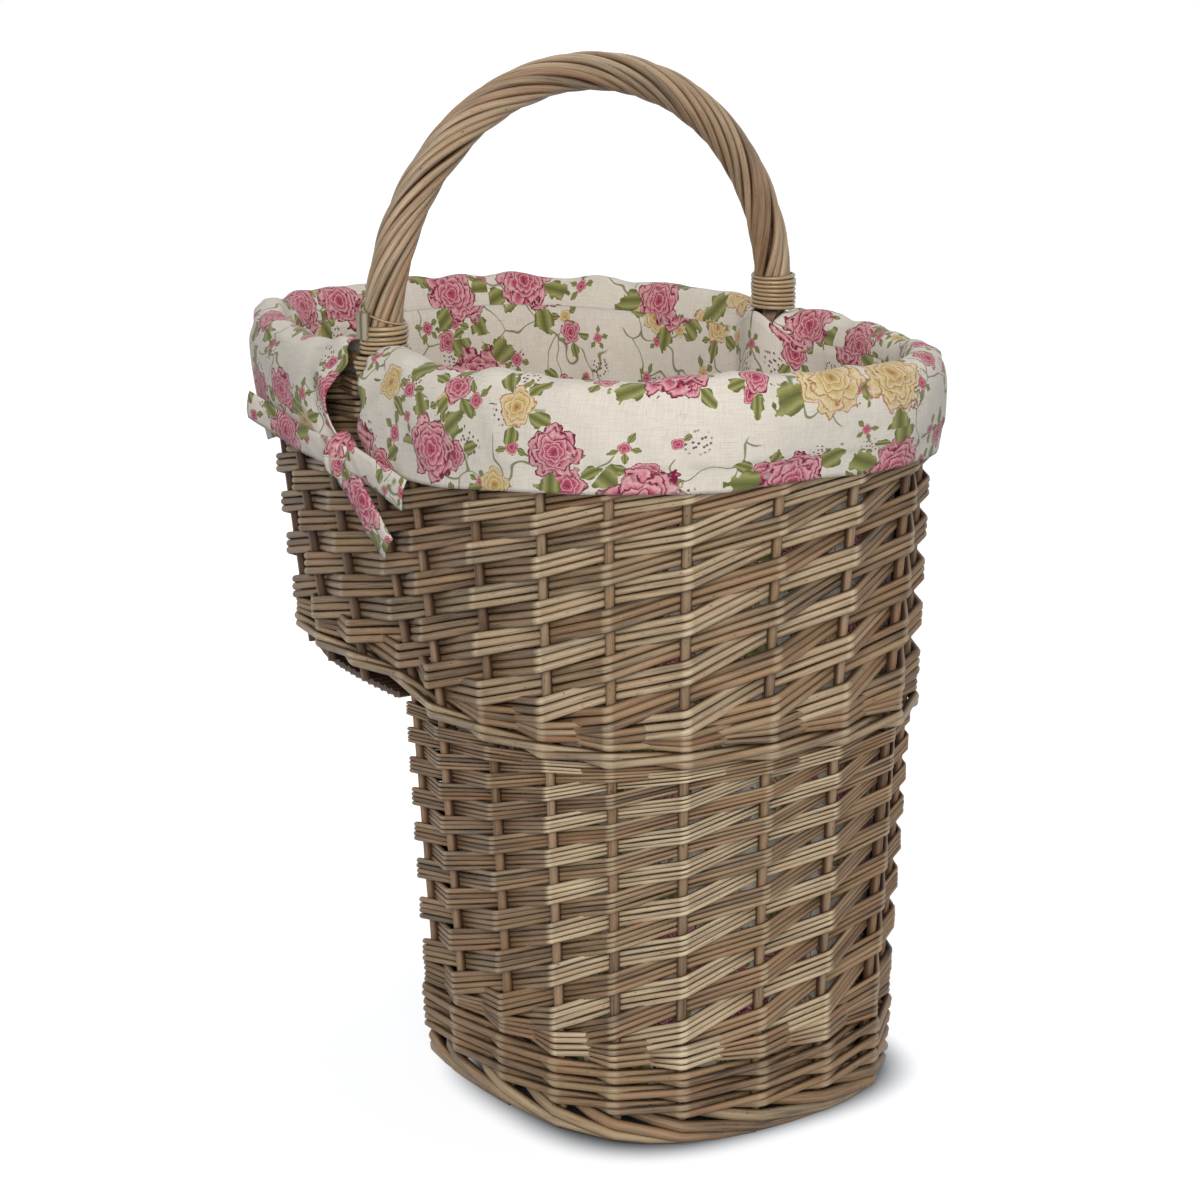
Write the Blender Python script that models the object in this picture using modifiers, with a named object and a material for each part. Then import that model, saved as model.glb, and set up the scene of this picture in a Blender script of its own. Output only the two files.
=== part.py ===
"""Lined stair basket: a willow basket with a step in its back, a roped bow handle and a tied cloth lining.

Metres, +Z up. +X points to the tall round front, -X to the overhang that rests on the upper stair.
All x values below are measured from the plane of the handle; the empty at the end moves the whole
basket so that the middle of its box stands on the origin.
"""
import bpy
import bmesh
from math import cos, sin, pi, sqrt, copysign, radians
from mathutils import Vector

# Heights of the basket, from the floor
STEP_HEIGHT = 0.2320
OVERHANG_RISE = 0.0110
RIM_HEIGHT = 0.4220
HANDLE_TOP = 0.5880

# Plans of the stakes at the foot, at the step and at the rim, from the plane of the handle
FOOT_FRONT = 0.2015
FOOT_BACK = -0.0020
FOOT_HALF_WIDTH = 0.1160
STEP_FRONT = 0.2090
STEP_BACK = -0.0065
STEP_HALF_WIDTH = 0.1300
OVERHANG_END = -0.2040
RIM_FRONT = 0.2220
RIM_BACK = -0.2280
RIM_HALF_WIDTH = 0.1495
FOOT_WIDEST = 0.0800
STEP_WIDEST = 0.0800
RIM_WIDEST = 0.0175
CORNER_INSET = 0.0060
RIM_CORNER = -0.0115
FRONT_POWER_SHARE = 2.6
RISER_POWER_SHARE = 11.0
OVERHANG_POWER_SHARE = 3.6
RIM_FRONT_POWER_SHARE = 2.5
RIM_BACK_POWER_SHARE = 3.0

# Stakes
FRONT_STEP_SHARES = (0.90, 1.14, 1.00, 0.81, 0.84, 1.05, 1.03, 1.05, 0.84, 0.81, 1.00, 1.14, 0.90)
RISER_STAKES = 5
SIDE_STAKES = 3
STAKE_RADIUS = 0.0030
SIDE_STEP_SHARE = 1.17
CORNER_RISE_SHARE = 0.8
BEND_RADIUS = 0.0080
GAP = 0.0003
KINK_GAP = 0.0008

# Foot border and bottom wale
BORDER_RADIUS = 0.0078
BORDER_VALLEY = 0.0062
BORDER_CENTRE = 0.0058
BORDER_OUTSET = 0.0010
WALE_ROD = 0.0044
WALE_ROUNDS = 4

# Weave
LOWER_ROUNDS = 16
UPPER_ROUNDS = 13
BAND_THICKNESS = 0.0034
BAND_SPACE = 0.0009
MIDDLE_WALE_ROD = 0.0032

# Base and overhang floor
PANEL_THICKNESS = 0.0060
FLOOR_THICKNESS = 0.0050
STICK_RADIUS = 0.0038
BOTTOM_STICKS = 3

# Rim border
RIM_BORDER_RADIUS = 0.0060
RIM_BORDER_VALLEY = 0.0048

# Handle
HANDLE_HALF_SPAN = 0.1405
ROPE_RADIUS = 0.0112
ROPE_VALLEY = 0.0097
ROPE_STRANDS = 9
ROPE_PITCH = 0.1150
CORE_RADIUS = 0.0050
CORE_PLAY = 0.0008
LEG_DEPTH = 0.0900
LEG_TIP_RADIUS = 0.0030
ROPE_LIFT = 0.0060
CANE_RADIUS = 0.0013
CANE_PITCH = 0.0034
NEAR_TURNS = 9
FAR_TURNS = 7
PEG_RADIUS = 0.0023
PEG_LENGTH = 0.0140
PEG_TURN_SHARES = (-0.125, -0.196)

# Cloth
LINING_THICKNESS = 0.0016
LINING_TOP_DROP = 0.0010
LINING_EASE = 0.0062
LEG_BULGE_WIDTH = 0.0450
LEG_BULGE_EASE = 0.0052
CUFF_THICKNESS = 0.0020
CUFF_DROP = 0.0616
CUFF_SLOPE_SHARE = 0.068
CUFF_SLIT = 0.0150
CUFF_STAND = 0.0030
CUFF_EASE = 0.0011
TIE_WIDTH = 0.0200
TIE_THICKNESS = 0.0018
KNOT_WIDTH = 0.0280
KNOT_HEIGHT = 0.0240
KNOT_DEPTH = 0.0130
STRAP_SHARES = ((0.0, 0.0), (2.0, 0.33), (3.3, 1.0))
TAIL_SHARES = ((0.0, 0.0), (1.0, -0.25), (2.0, -0.6))
HANG_SHARES = ((0.25, 0.0), (1.0, -1.0), (2.0, -2.1))

# Counts that set how fine the shapes are
PLAN_POINTS = 720
RING_POINTS = 57
PANEL_POINTS = 48
CUFF_POINTS = 24
ARCH_POINTS = 44
BORE_POINTS = 29
TURN_POINTS = 18
KNOT_POINTS = 16
SHADE_ANGLE = radians(40)

# Heights and offsets that follow from the sizes above
WOVEN_REACH = STAKE_RADIUS + KINK_GAP + BAND_THICKNESS
FOOT_TOP = BORDER_CENTRE + BORDER_RADIUS
WALE_BOTTOM = FOOT_TOP + GAP
WALE_TOP = WALE_BOTTOM + WALE_ROUNDS * (WALE_ROD + GAP)
FLOOR_RUN = STEP_HEIGHT + OVERHANG_RISE - BEND_RADIUS - MIDDLE_WALE_ROD
MIDDLE_WALE_BOTTOM = STEP_HEIGHT - MIDDLE_WALE_ROD
MIDDLE_WALE_TOP = STEP_HEIGHT + MIDDLE_WALE_ROD + GAP
RIM_BORDER_CENTRE = RIM_HEIGHT + GAP + RIM_BORDER_RADIUS
RIM_BORDER_TOP = RIM_BORDER_CENTRE + RIM_BORDER_RADIUS
ROPE_BOTTOM = RIM_BORDER_TOP + ROPE_LIFT
SPRING_HEIGHT = HANDLE_TOP - HANDLE_HALF_SPAN
LEG_LENGTH = SPRING_HEIGHT - ROPE_BOTTOM
ARCH_LENGTH = 2 * LEG_LENGTH + pi * HANDLE_HALF_SPAN
CUFF_OUTSIDE = WOVEN_REACH + CUFF_EASE + CUFF_THICKNESS + CUFF_STAND


def clear_scene():
    """Remove every object, so that the basket stands alone."""
    for old in list(bpy.data.objects):
        bpy.data.objects.remove(old, do_unlink=True)


def make_material(name, colour, roughness):
    """One plain finish for each kind of stuff the basket is made of."""
    material = bpy.data.materials.new(name)
    material.use_nodes = True
    shader = material.node_tree.nodes["Principled BSDF"]
    shader.inputs["Base Color"].default_value = (*colour, 1.0)
    shader.inputs["Roughness"].default_value = roughness
    shader.inputs["Metallic"].default_value = 0.0
    material.diffuse_color = (*colour, 1.0)
    return material


def new_collection(name):
    """A collection linked into the scene."""
    collection = bpy.data.collections.new(name)
    bpy.context.scene.collection.children.link(collection)
    return collection


def place(obj, material):
    """Put an object in the basket's collection, under the basket's empty, with its finish."""
    PARTS.objects.link(obj)
    obj.parent = FRAME
    obj.data.materials.append(material)
    return obj


def add_mesh(name, vertices, faces, material, closed=True):
    """A smooth mesh object. A closed one gets its faces turned outwards."""
    mesh = bpy.data.meshes.new(name)
    mesh.from_pydata([tuple(v) for v in vertices], [], faces)
    if closed:
        work = bmesh.new()
        work.from_mesh(mesh)
        bmesh.ops.recalc_face_normals(work, faces=work.faces)
        work.to_mesh(mesh)
        work.free()
    mesh.shade_smooth()
    mesh.set_sharp_from_angle(angle=SHADE_ANGLE)
    return place(bpy.data.objects.new(name, mesh), material)


def add_rod(name, points, radius, material, resolution=1, radius_shares=None):
    """A round rod along points, with filled ends. Radius shares taper it."""
    curve = bpy.data.curves.new(name, "CURVE")
    curve.dimensions = "3D"
    curve.bevel_depth = radius
    curve.bevel_resolution = resolution
    curve.use_fill_caps = True
    spline = curve.splines.new("POLY")
    spline.points.add(len(points) - 1)
    for i, point in enumerate(points):
        spline.points[i].co = (*point, 1.0)
        spline.points[i].radius = radius_shares[i] if radius_shares else 1.0
    return place(bpy.data.objects.new(name, curve), material)


def add_slab(name, outline, bottom, thickness, material):
    """A flat panel: a filled outline made thick by half to each side."""
    curve = bpy.data.curves.new(name, "CURVE")
    curve.dimensions = "2D"
    curve.fill_mode = "BOTH"
    curve.extrude = thickness / 2
    spline = curve.splines.new("POLY")
    spline.points.add(len(outline) - 1)
    spline.use_cyclic_u = True
    for i, point in enumerate(outline):
        spline.points[i].co = (point.x, point.y, 0.0, 1.0)
    slab = place(bpy.data.objects.new(name, curve), material)
    slab.location = (0.0, 0.0, bottom + thickness / 2)
    return slab


def plan(front, back, half_width, widest, front_power, back_power, inset=0.0):
    """A basket's plan seen from above, counter-clockwise: two unlike half ovals that meet where it is widest."""
    points = []
    for i in range(PLAN_POINTS):
        angle = -pi + 2 * pi * i / PLAN_POINTS
        across = cos(angle)
        power = front_power if across >= 0 else back_power
        reach = front - inset - widest if across >= 0 else widest - back - inset
        x = widest + reach * copysign(abs(across) ** (2 / power), across)
        y = (half_width - inset) * copysign(abs(sin(angle)) ** (2 / power), sin(angle))
        points.append(Vector((x, y)))
    return points


def foot_plan(inset=0.0):
    """The plan of the stakes where they leave the foot border."""
    return plan(FOOT_FRONT, FOOT_BACK, FOOT_HALF_WIDTH, FOOT_WIDEST,
                FRONT_POWER_SHARE, RISER_POWER_SHARE, inset)


def step_plan(inset=0.0):
    """The plan of the front part of the basket at the height of the step."""
    return plan(STEP_FRONT, STEP_BACK, STEP_HALF_WIDTH, STEP_WIDEST,
                FRONT_POWER_SHARE, RISER_POWER_SHARE, inset)


def overhang_plan(inset=0.0):
    """The plan of the whole basket at the height of the step, overhang included."""
    return plan(STEP_FRONT, OVERHANG_END, STEP_HALF_WIDTH, STEP_WIDEST,
                FRONT_POWER_SHARE, OVERHANG_POWER_SHARE, inset)


def rim_plan(inset=0.0):
    """The plan of the stakes at the rim."""
    return plan(RIM_FRONT, RIM_BACK, RIM_HALF_WIDTH, RIM_WIDEST,
                RIM_FRONT_POWER_SHARE, RIM_BACK_POWER_SHARE, inset)


def crossing(a, b, cut):
    """The point between a and b where x equals cut."""
    return a.lerp(b, (cut - a.x) / (b.x - a.x))


def front_arc(points, cut):
    """The part of a plan in front of cut, from the -Y side round the front to the +Y side."""
    inside = [i for i in range(len(points)) if points[i].x >= cut]
    first = inside[0]
    last = inside[-1]
    start = crossing(points[first - 1], points[first], cut)
    end = crossing(points[last], points[(last + 1) % len(points)], cut)
    return [start] + [points[i] for i in inside] + [end]


def back_arc(points, cut):
    """The part of a plan behind cut, from the +Y side round the back to the -Y side."""
    front = front_arc(points, cut)
    far_side = [p for p in points if p.x < cut and p.y > 0]
    near_side = [p for p in points if p.x < cut and p.y <= 0]
    return [front[-1]] + far_side + near_side + [front[0]]


def along(points, share):
    """The point at a share of the length of a line of points."""
    lengths = [(b - a).length for a, b in zip(points, points[1:])]
    left = share * sum(lengths)
    for a, b, length in zip(points, points[1:], lengths):
        if left <= length and length > 0:
            return a.lerp(b, left / length)
        left -= length
    return points[-1].copy()


def spread(weights):
    """Running shares of a row of weights, with both ends."""
    total = sum(weights)
    shares = [0.0]
    for weight in weights:
        shares.append(shares[-1] + weight / total)
    return shares


def stake_plans():
    """Where each stake stands at the foot, the step and the rim, in order round the basket."""
    front_shares = spread(FRONT_STEP_SHARES)
    side_steps = [SIDE_STEP_SHARE] * SIDE_STAKES
    back_shares = spread(side_steps + [1.0] * (RISER_STAKES + 1) + side_steps)[1:-1]
    riser_shares = spread([1.0] * (RISER_STAKES + 1))[1:-1]
    foot_front = front_arc(foot_plan(), FOOT_BACK + CORNER_INSET)
    foot_riser = back_arc(foot_plan(), FOOT_BACK + CORNER_INSET)
    step_front = front_arc(step_plan(), STEP_BACK + CORNER_INSET)
    step_riser = back_arc(step_plan(), STEP_BACK + CORNER_INSET)
    step_end = back_arc(overhang_plan(), STEP_BACK + CORNER_INSET)
    rim_front = front_arc(rim_plan(), RIM_CORNER)
    rim_end = back_arc(rim_plan(), RIM_CORNER)
    front = [(along(foot_front, s), along(step_front, s), along(rim_front, s)) for s in front_shares]
    back = [(along(step_end, s), along(rim_end, s)) for s in back_shares]
    riser = [(along(foot_riser, s), along(step_riser, s)) for s in riser_shares]
    return front, back, riser


def at_height(low, high, low_height, high_height, height):
    """A stake's place at one height of a straight stretch."""
    return low.lerp(high, (height - low_height) / (high_height - low_height))


def lower_line(foot, step):
    """A stake's course from the foot to the step, as a function of height."""
    return lambda height: at_height(foot, step, FOOT_TOP, STEP_HEIGHT, height)


def upper_line(step, rim):
    """A stake's course from the step to the rim, as a function of height."""
    return lambda height: at_height(step, rim, STEP_HEIGHT, RIM_HEIGHT, height)


def build_stakes(front, back, riser):
    """Front stakes, overhang side stakes and the riser stakes that carry the overhang's floor."""
    for i, (foot, step, rim) in enumerate(front):
        points = [(*foot, FOOT_TOP + GAP), (*step, STEP_HEIGHT), (*rim, RIM_HEIGHT)]
        add_rod(f"front_stake_{i + 1:02d}", points, STAKE_RADIUS, STAKE_WILLOW)
    sides = back[:SIDE_STAKES] + back[-SIDE_STAKES:]
    for i, (step, rim) in enumerate(sides):
        line = upper_line(step, rim)
        start = FLOOR_RUN - STAKE_RADIUS
        points = [(*line(start), start), (*rim, RIM_HEIGHT)]
        add_rod(f"side_stake_{i + 1}", points, STAKE_RADIUS, STAKE_WILLOW)
    ends = back[SIDE_STAKES:-SIDE_STAKES]
    for i, ((foot, step), (end, rim)) in enumerate(zip(riser, ends)):
        add_rod(f"riser_stake_{i + 1}", riser_course(foot, step, end, rim), STAKE_RADIUS, STAKE_WILLOW)


def riser_course(foot, step, end, rim):
    """Up the riser, round a bend, out under the overhang, round a second bend and up the end wall."""
    way = (end - step).normalized()
    up = lower_line(foot, step)
    down = upper_line(end, rim)
    bend_low = FLOOR_RUN - BEND_RADIUS
    bend_high = FLOOR_RUN + BEND_RADIUS
    points = [(*foot, FOOT_TOP + GAP), (*up(bend_low), bend_low)]
    for turn in (pi / 6, pi / 3, pi / 2):
        out = up(FLOOR_RUN) + way * BEND_RADIUS * (1 - cos(turn))
        points.append((*out, bend_low + BEND_RADIUS * sin(turn)))
    for turn in (0.0, pi / 6, pi / 3):
        out = down(FLOOR_RUN) - way * BEND_RADIUS * (1 - sin(turn))
        points.append((*out, bend_high - BEND_RADIUS * cos(turn)))
    points.append((*down(bend_high), bend_high))
    points.append((*rim, RIM_HEIGHT))
    return points


def round_normals(places):
    """Outward directions at each place of a closed round, and how far the round turns there."""
    count = len(places)
    result = []
    for i in range(count):
        before = (places[i] - places[i - 1]).normalized()
        after = (places[(i + 1) % count] - places[i]).normalized()
        tangent = (before + after).normalized()
        turn = before.angle(after, 0.0)
        result.append((Vector((tangent.y, -tangent.x)), turn, (places[(i + 1) % count] - places[i]).length))
    return result


def woven_round(name, lines, bottoms, tops, rounds, rod_height, rod_depth, material, sides=4):
    """One band woven round the stakes without a break, before one stake and behind the next.

    The number of stakes is odd, so each round passes every stake on the other side than the round below it.
    lines gives each stake's course; bottoms and tops give the heights that the rounds fill at each stake.
    """
    count = len(lines)
    crossings = rounds * count
    vertices = []
    for i in range(crossings):
        stake = i % count
        share = (i / count) / rounds
        low = bottoms[stake] + rod_height / 2
        high = tops[stake] - rod_height / 2
        height = low + (high - low) * share * rounds / (rounds - 1 / count)
        places = [line(height) for line in lines]
        normal, turn, spacing = round_normals(places)[stake]
        side = 1 if i % 2 == 0 else -1
        cross = (2 * STAKE_RADIUS + rod_depth) / spacing
        lean = cos(turn / 2 + cross) if side > 0 else cos(abs(turn / 2 - cross))
        offset = (STAKE_RADIUS + KINK_GAP) / lean + rod_depth / 2
        rise = Vector((*(lines[stake](height + rod_height) - lines[stake](height)), rod_height)).normalized()
        middle = Vector((*(places[stake] + normal * side * offset), height))
        out = Vector((*normal, 0.0))
        for k in range(sides):
            angle = pi / sides + 2 * pi * k / sides
            scale = sqrt(2) if sides == 4 else 1.0
            vertices.append(middle + out * (rod_depth / 2 * scale * cos(angle))
                            + rise * (rod_height / 2 * scale * sin(angle)))
    faces = loft_faces(crossings, sides)
    return add_mesh(name, vertices, faces, material)


def loft_faces(rings, sides, closed_path=False, shift=0):
    """Faces between successive rings of points, with end caps on an open path."""
    faces = []
    steps = rings if closed_path else rings - 1
    for i in range(steps):
        onward = (i + 1) % rings
        slip = shift if onward == 0 else 0
        for k in range(sides):
            a = i * sides + k
            b = i * sides + (k + 1) % sides
            c = onward * sides + (k + 1 + slip) % sides
            d = onward * sides + (k + slip) % sides
            faces.append((a, b, c, d))
    if not closed_path:
        faces.append(tuple(range(sides))[::-1])
        faces.append(tuple(range((rings - 1) * sides, rings * sides)))
    return faces


def roped_ring(name, points, centre, radius, valley, strands, shifts, per_strand, material):
    """A border: rods twisted together along a closed plan. Each strand shifts by one place at every twist."""
    count = RING_POINTS
    closed = points + [points[0]]
    path = [along(closed, i / count) for i in range(count)]
    normals = round_normals(path)
    sides = strands * per_strand
    vertices = []
    for i in range(count):
        out = Vector((*normals[i][0], 0.0))
        middle = Vector((*path[i], centre))
        twist = 2 * pi * shifts / strands * i / count
        for k in range(sides):
            around = 2 * pi * k / sides
            reach = valley + (radius - valley) * (0.5 + 0.5 * cos(strands * around))
            angle = around + twist
            vertices.append(middle + out * reach * cos(angle) + Vector((0, 0, reach * sin(angle))))
    faces = loft_faces(count, sides, closed_path=True, shift=shifts * per_strand)
    return add_mesh(name, vertices, faces, material)


def build_foot(front, riser):
    """Foot border cut flat where it stands, bottom wale, woven base and the sticks under it."""
    border = roped_ring("foot_border", foot_plan(-BORDER_OUTSET), BORDER_CENTRE, BORDER_RADIUS,
                        BORDER_VALLEY, 3, len(front) + len(riser), 4, STAKE_WILLOW)
    cutter_mesh = bpy.data.meshes.new("floor_cutter")
    work = bmesh.new()
    bmesh.ops.create_cube(work, size=1.0)
    work.to_mesh(cutter_mesh)
    work.free()
    cutter = bpy.data.objects.new("floor_cutter", cutter_mesh)
    CUTTERS.objects.link(cutter)
    cutter.parent = FRAME
    cutter.scale = (3 * FOOT_FRONT, 3 * FOOT_FRONT, BORDER_RADIUS)
    cutter.location = (0.0, 0.0, -BORDER_RADIUS / 2)
    cutter.hide_render = True
    cutter.display_type = "WIRE"
    cut = border.modifiers.new("flat_foot", "BOOLEAN")
    cut.operation = "DIFFERENCE"
    cut.object = cutter
    lines = [lower_line(foot, step) for foot, step, _ in front] + [lower_line(*pair) for pair in riser]
    count = len(lines)
    woven_round("bottom_wale", lines, [WALE_BOTTOM] * count, [WALE_TOP] * count, WALE_ROUNDS,
                WALE_ROD, WALE_ROD, STAKE_WILLOW, sides=6)
    inset = STAKE_RADIUS + KINK_GAP + WALE_ROD + 2 * GAP
    outline = foot_plan(inset)[::PLAN_POINTS // PANEL_POINTS]
    add_slab("base_panel", outline, WALE_BOTTOM, PANEL_THICKNESS, WEAVE_WILLOW)
    for i in range(BOTTOM_STICKS):
        share = (i + 1) / (BOTTOM_STICKS + 1)
        x = FOOT_BACK + (FOOT_FRONT - FOOT_BACK) * share
        edge = front_arc(foot_plan(BORDER_RADIUS + GAP), x)[0]
        height = WALE_BOTTOM - GAP - STICK_RADIUS
        points = [(x, edge.y, height), (x, -edge.y, height)]
        add_rod(f"bottom_stick_{i + 1}", points, STICK_RADIUS, STAKE_WILLOW, resolution=2)


def build_weave(front, back, riser):
    """The two woven walls with the wale between them."""
    lower = [lower_line(foot, step) for foot, step, _ in front] + [lower_line(*pair) for pair in riser]
    low = [WALE_TOP + GAP] * len(lower)
    riser_top = FLOOR_RUN - BEND_RADIUS + STAKE_RADIUS / 2
    tops = [MIDDLE_WALE_BOTTOM - GAP] * len(front) + [riser_top] * len(riser)
    height = (riser_top - WALE_TOP) / (LOWER_ROUNDS + 1) - BAND_SPACE
    woven_round("lower_weave", lower, low, tops, LOWER_ROUNDS, height, BAND_THICKNESS, WEAVE_WILLOW)
    upper = [upper_line(step, rim) for _, step, rim in front] + [upper_line(*pair) for pair in back]
    corner = CORNER_RISE_SHARE * OVERHANG_RISE
    rises = [corner] + [0.0] * (len(front) - 2) + [corner] + [OVERHANG_RISE] * len(back)
    woven_round("middle_wale", upper, [MIDDLE_WALE_BOTTOM + rise for rise in rises],
                [MIDDLE_WALE_TOP + rise for rise in rises], 2, MIDDLE_WALE_ROD, MIDDLE_WALE_ROD, STAKE_WILLOW)
    height = (RIM_HEIGHT - MIDDLE_WALE_TOP - OVERHANG_RISE) / (UPPER_ROUNDS + 1) - BAND_SPACE
    woven_round("upper_weave", upper, [MIDDLE_WALE_TOP + GAP + rise for rise in rises],
                [RIM_HEIGHT] * len(upper), UPPER_ROUNDS, height, BAND_THICKNESS, WEAVE_WILLOW)


def build_overhang_floor():
    """The flat panel under the overhang, which rests on the upper stair."""
    inset = STAKE_RADIUS + KINK_GAP
    front_edge = STEP_BACK - WOVEN_REACH - 2 * GAP - KINK_GAP
    outline = [p for p in overhang_plan(inset)[::PLAN_POINTS // PANEL_POINTS] if p.x < front_edge]
    side = front_arc(overhang_plan(inset), front_edge)
    behind = sorted(outline, key=lambda p: -p.y)
    outline = [side[-1]] + behind + [side[0]]
    bottom = FLOOR_RUN - STAKE_RADIUS - GAP - FLOOR_THICKNESS
    add_slab("overhang_floor", outline, bottom, FLOOR_THICKNESS, WEAVE_WILLOW)


def build_rim(stakes):
    """The plaited border on top of the stakes."""
    roped_ring("top_border", rim_plan(), RIM_BORDER_CENTRE, RIM_BORDER_RADIUS, RIM_BORDER_VALLEY,
               3, stakes, 2, STAKE_WILLOW)


def arch_frame(distance):
    """The handle's centre line: a leg, a half circle and a leg. Gives the place and the outward direction."""
    arc = pi * HANDLE_HALF_SPAN
    if distance < LEG_LENGTH:
        return Vector((0, -HANDLE_HALF_SPAN, ROPE_BOTTOM + distance)), Vector((0, -1, 0))
    if distance > LEG_LENGTH + arc:
        left = ARCH_LENGTH - distance
        return Vector((0, HANDLE_HALF_SPAN, ROPE_BOTTOM + left)), Vector((0, 1, 0))
    angle = (distance - LEG_LENGTH) / HANDLE_HALF_SPAN
    out = Vector((0, -cos(angle), sin(angle)))
    return Vector((0, 0, SPRING_HEIGHT)) + out * HANDLE_HALF_SPAN, out


def around_arch(distance, radius, angle):
    """A point round the handle's centre line."""
    middle, out = arch_frame(distance)
    return middle + out * (radius * cos(angle)) + Vector((radius * sin(angle), 0, 0))


def build_handle_rope():
    """Rods twisted round the core: a lobed section that turns along the bow, bored through for the core."""
    sides = 2 * ROPE_STRANDS
    turns = round(ARCH_LENGTH / ROPE_PITCH * ROPE_STRANDS) / ROPE_STRANDS
    vertices = []
    for i in range(ARCH_POINTS):
        share = i / (ARCH_POINTS - 1)
        for k in range(sides):
            reach = ROPE_RADIUS if k % 2 == 0 else ROPE_VALLEY
            angle = 2 * pi * (k / sides + turns * share)
            vertices.append(around_arch(ARCH_LENGTH * share, reach, angle))
    faces = loft_faces(ARCH_POINTS, sides)[:-2]
    first_bore = len(vertices)
    for i in range(BORE_POINTS):
        share = i / (BORE_POINTS - 1)
        for k in range(ROPE_STRANDS):
            angle = 2 * pi * k / ROPE_STRANDS
            vertices.append(around_arch(ARCH_LENGTH * share, CORE_RADIUS + CORE_PLAY, angle))
    bore = loft_faces(BORE_POINTS, ROPE_STRANDS)[:-2]
    faces += [tuple(first_bore + v for v in face[::-1]) for face in bore]
    slip = round(turns * ROPE_STRANDS) % ROPE_STRANDS
    last_bore = first_bore + (BORE_POINTS - 1) * ROPE_STRANDS
    last_rope = (ARCH_POINTS - 1) * sides
    for k in range(ROPE_STRANDS):
        onward = (k + 1) % ROPE_STRANDS
        faces.append((first_bore + k, first_bore + onward, 2 * onward, 2 * k + 1, 2 * k))
        bore_a = last_bore + (k + slip) % ROPE_STRANDS
        bore_b = last_bore + (k + 1 + slip) % ROPE_STRANDS
        faces.append((bore_a, last_rope + 2 * k, last_rope + 2 * k + 1, last_rope + 2 * onward, bore_b))
    add_mesh("handle_rope", vertices, faces, STAKE_WILLOW)


def wall_inside(height):
    """How far from the middle plane the side wall's inner face is at the handle, beside the corner stake."""
    _, step, rim = FRONT[0]
    return abs(upper_line(step, rim)(height).y) - WOVEN_REACH - KINK_GAP


def leg_centre(height):
    """How far from the middle plane a leg of the core stands inside the wall."""
    beside_border = front_arc(rim_plan(), 0.0)[-1].y - RIM_BORDER_RADIUS
    return min(wall_inside(height), beside_border) - CORE_RADIUS - GAP


def build_handle_core():
    """The thick rod inside the bow. Its pointed ends go down inside the wall."""
    tip_height = RIM_HEIGHT - LEG_DEPTH
    turn_height = RIM_BORDER_CENTRE + RIM_BORDER_RADIUS / 3
    tip = wall_inside(tip_height) - LEG_TIP_RADIUS - GAP
    leg = [(tip, tip_height), (leg_centre(RIM_HEIGHT), RIM_HEIGHT), (leg_centre(RIM_HEIGHT), turn_height)]
    near = [(0.0, -y, z) for y, z in leg]
    far = [(0.0, y, z) for y, z in leg[::-1]]
    bow = [arch_frame(ARCH_LENGTH * i / (BORE_POINTS - 1))[0] for i in range(BORE_POINTS)]
    below = Vector((0, 0, ROPE_LIFT / 4))
    bow[0] -= below
    bow[-1] -= below
    points = near + [tuple(p) for p in bow] + far
    shares = [1.0] * len(points)
    shares[0] = LEG_TIP_RADIUS / CORE_RADIUS
    shares[-1] = shares[0]
    add_rod("handle_core", points, CORE_RADIUS, STAKE_WILLOW, radius_shares=shares)


def least_gap(points, radius, per_turn):
    """The smallest space between a winding's turns."""
    least = None
    for i, a in enumerate(points):
        for b in points[i + per_turn * 2 // 3:i + per_turn * 4 // 3]:
            space = (a - b).length - 2 * radius
            least = space if least is None else min(least, space)
    return least


def build_lashing(name, turns, start, way):
    """Cane wound round a foot of the handle in one unbroken run."""
    per_turn = TURN_POINTS
    radius = ROPE_RADIUS + GAP + CANE_RADIUS
    points = []
    for i in range(turns * per_turn + 1):
        distance = start + way * (CANE_RADIUS + GAP + CANE_PITCH * i / per_turn)
        points.append(around_arch(distance, radius, 2 * pi * i / per_turn))
    print(name, "least gap between turns, mm:", round(1000 * least_gap(points, CANE_RADIUS, per_turn), 2))
    add_rod(name, [tuple(p) for p in points], CANE_RADIUS, CANE)


def build_pegs():
    """Two cut rod ends that stand on the near lashing, against the rope."""
    start = NEAR_TURNS * CANE_PITCH + 2 * (CANE_RADIUS + GAP) + GAP
    radius = ROPE_RADIUS + GAP + PEG_RADIUS
    for i, share in enumerate(PEG_TURN_SHARES):
        angle = 2 * pi * share
        points = [tuple(around_arch(start + PEG_LENGTH * k, radius, angle)) for k in range(2)]
        add_rod(f"near_rod_end_{i + 1}", points, PEG_RADIUS, STAKE_WILLOW)


def bag_ring(front_line, back_line, height, bulge=0.0):
    """One ring of the lining, pushed inwards where the handle's legs stand behind it."""
    ring = []
    half = PANEL_POINTS // 2
    for line in (front_line, back_line):
        for i in range(half):
            point = along(line, i / half)
            push = bulge * max(0.0, 1 - (point.x / LEG_BULGE_WIDTH) ** 2)
            ring.append(Vector((point.x, point.y - copysign(push, point.y), height)))
    return ring


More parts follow.
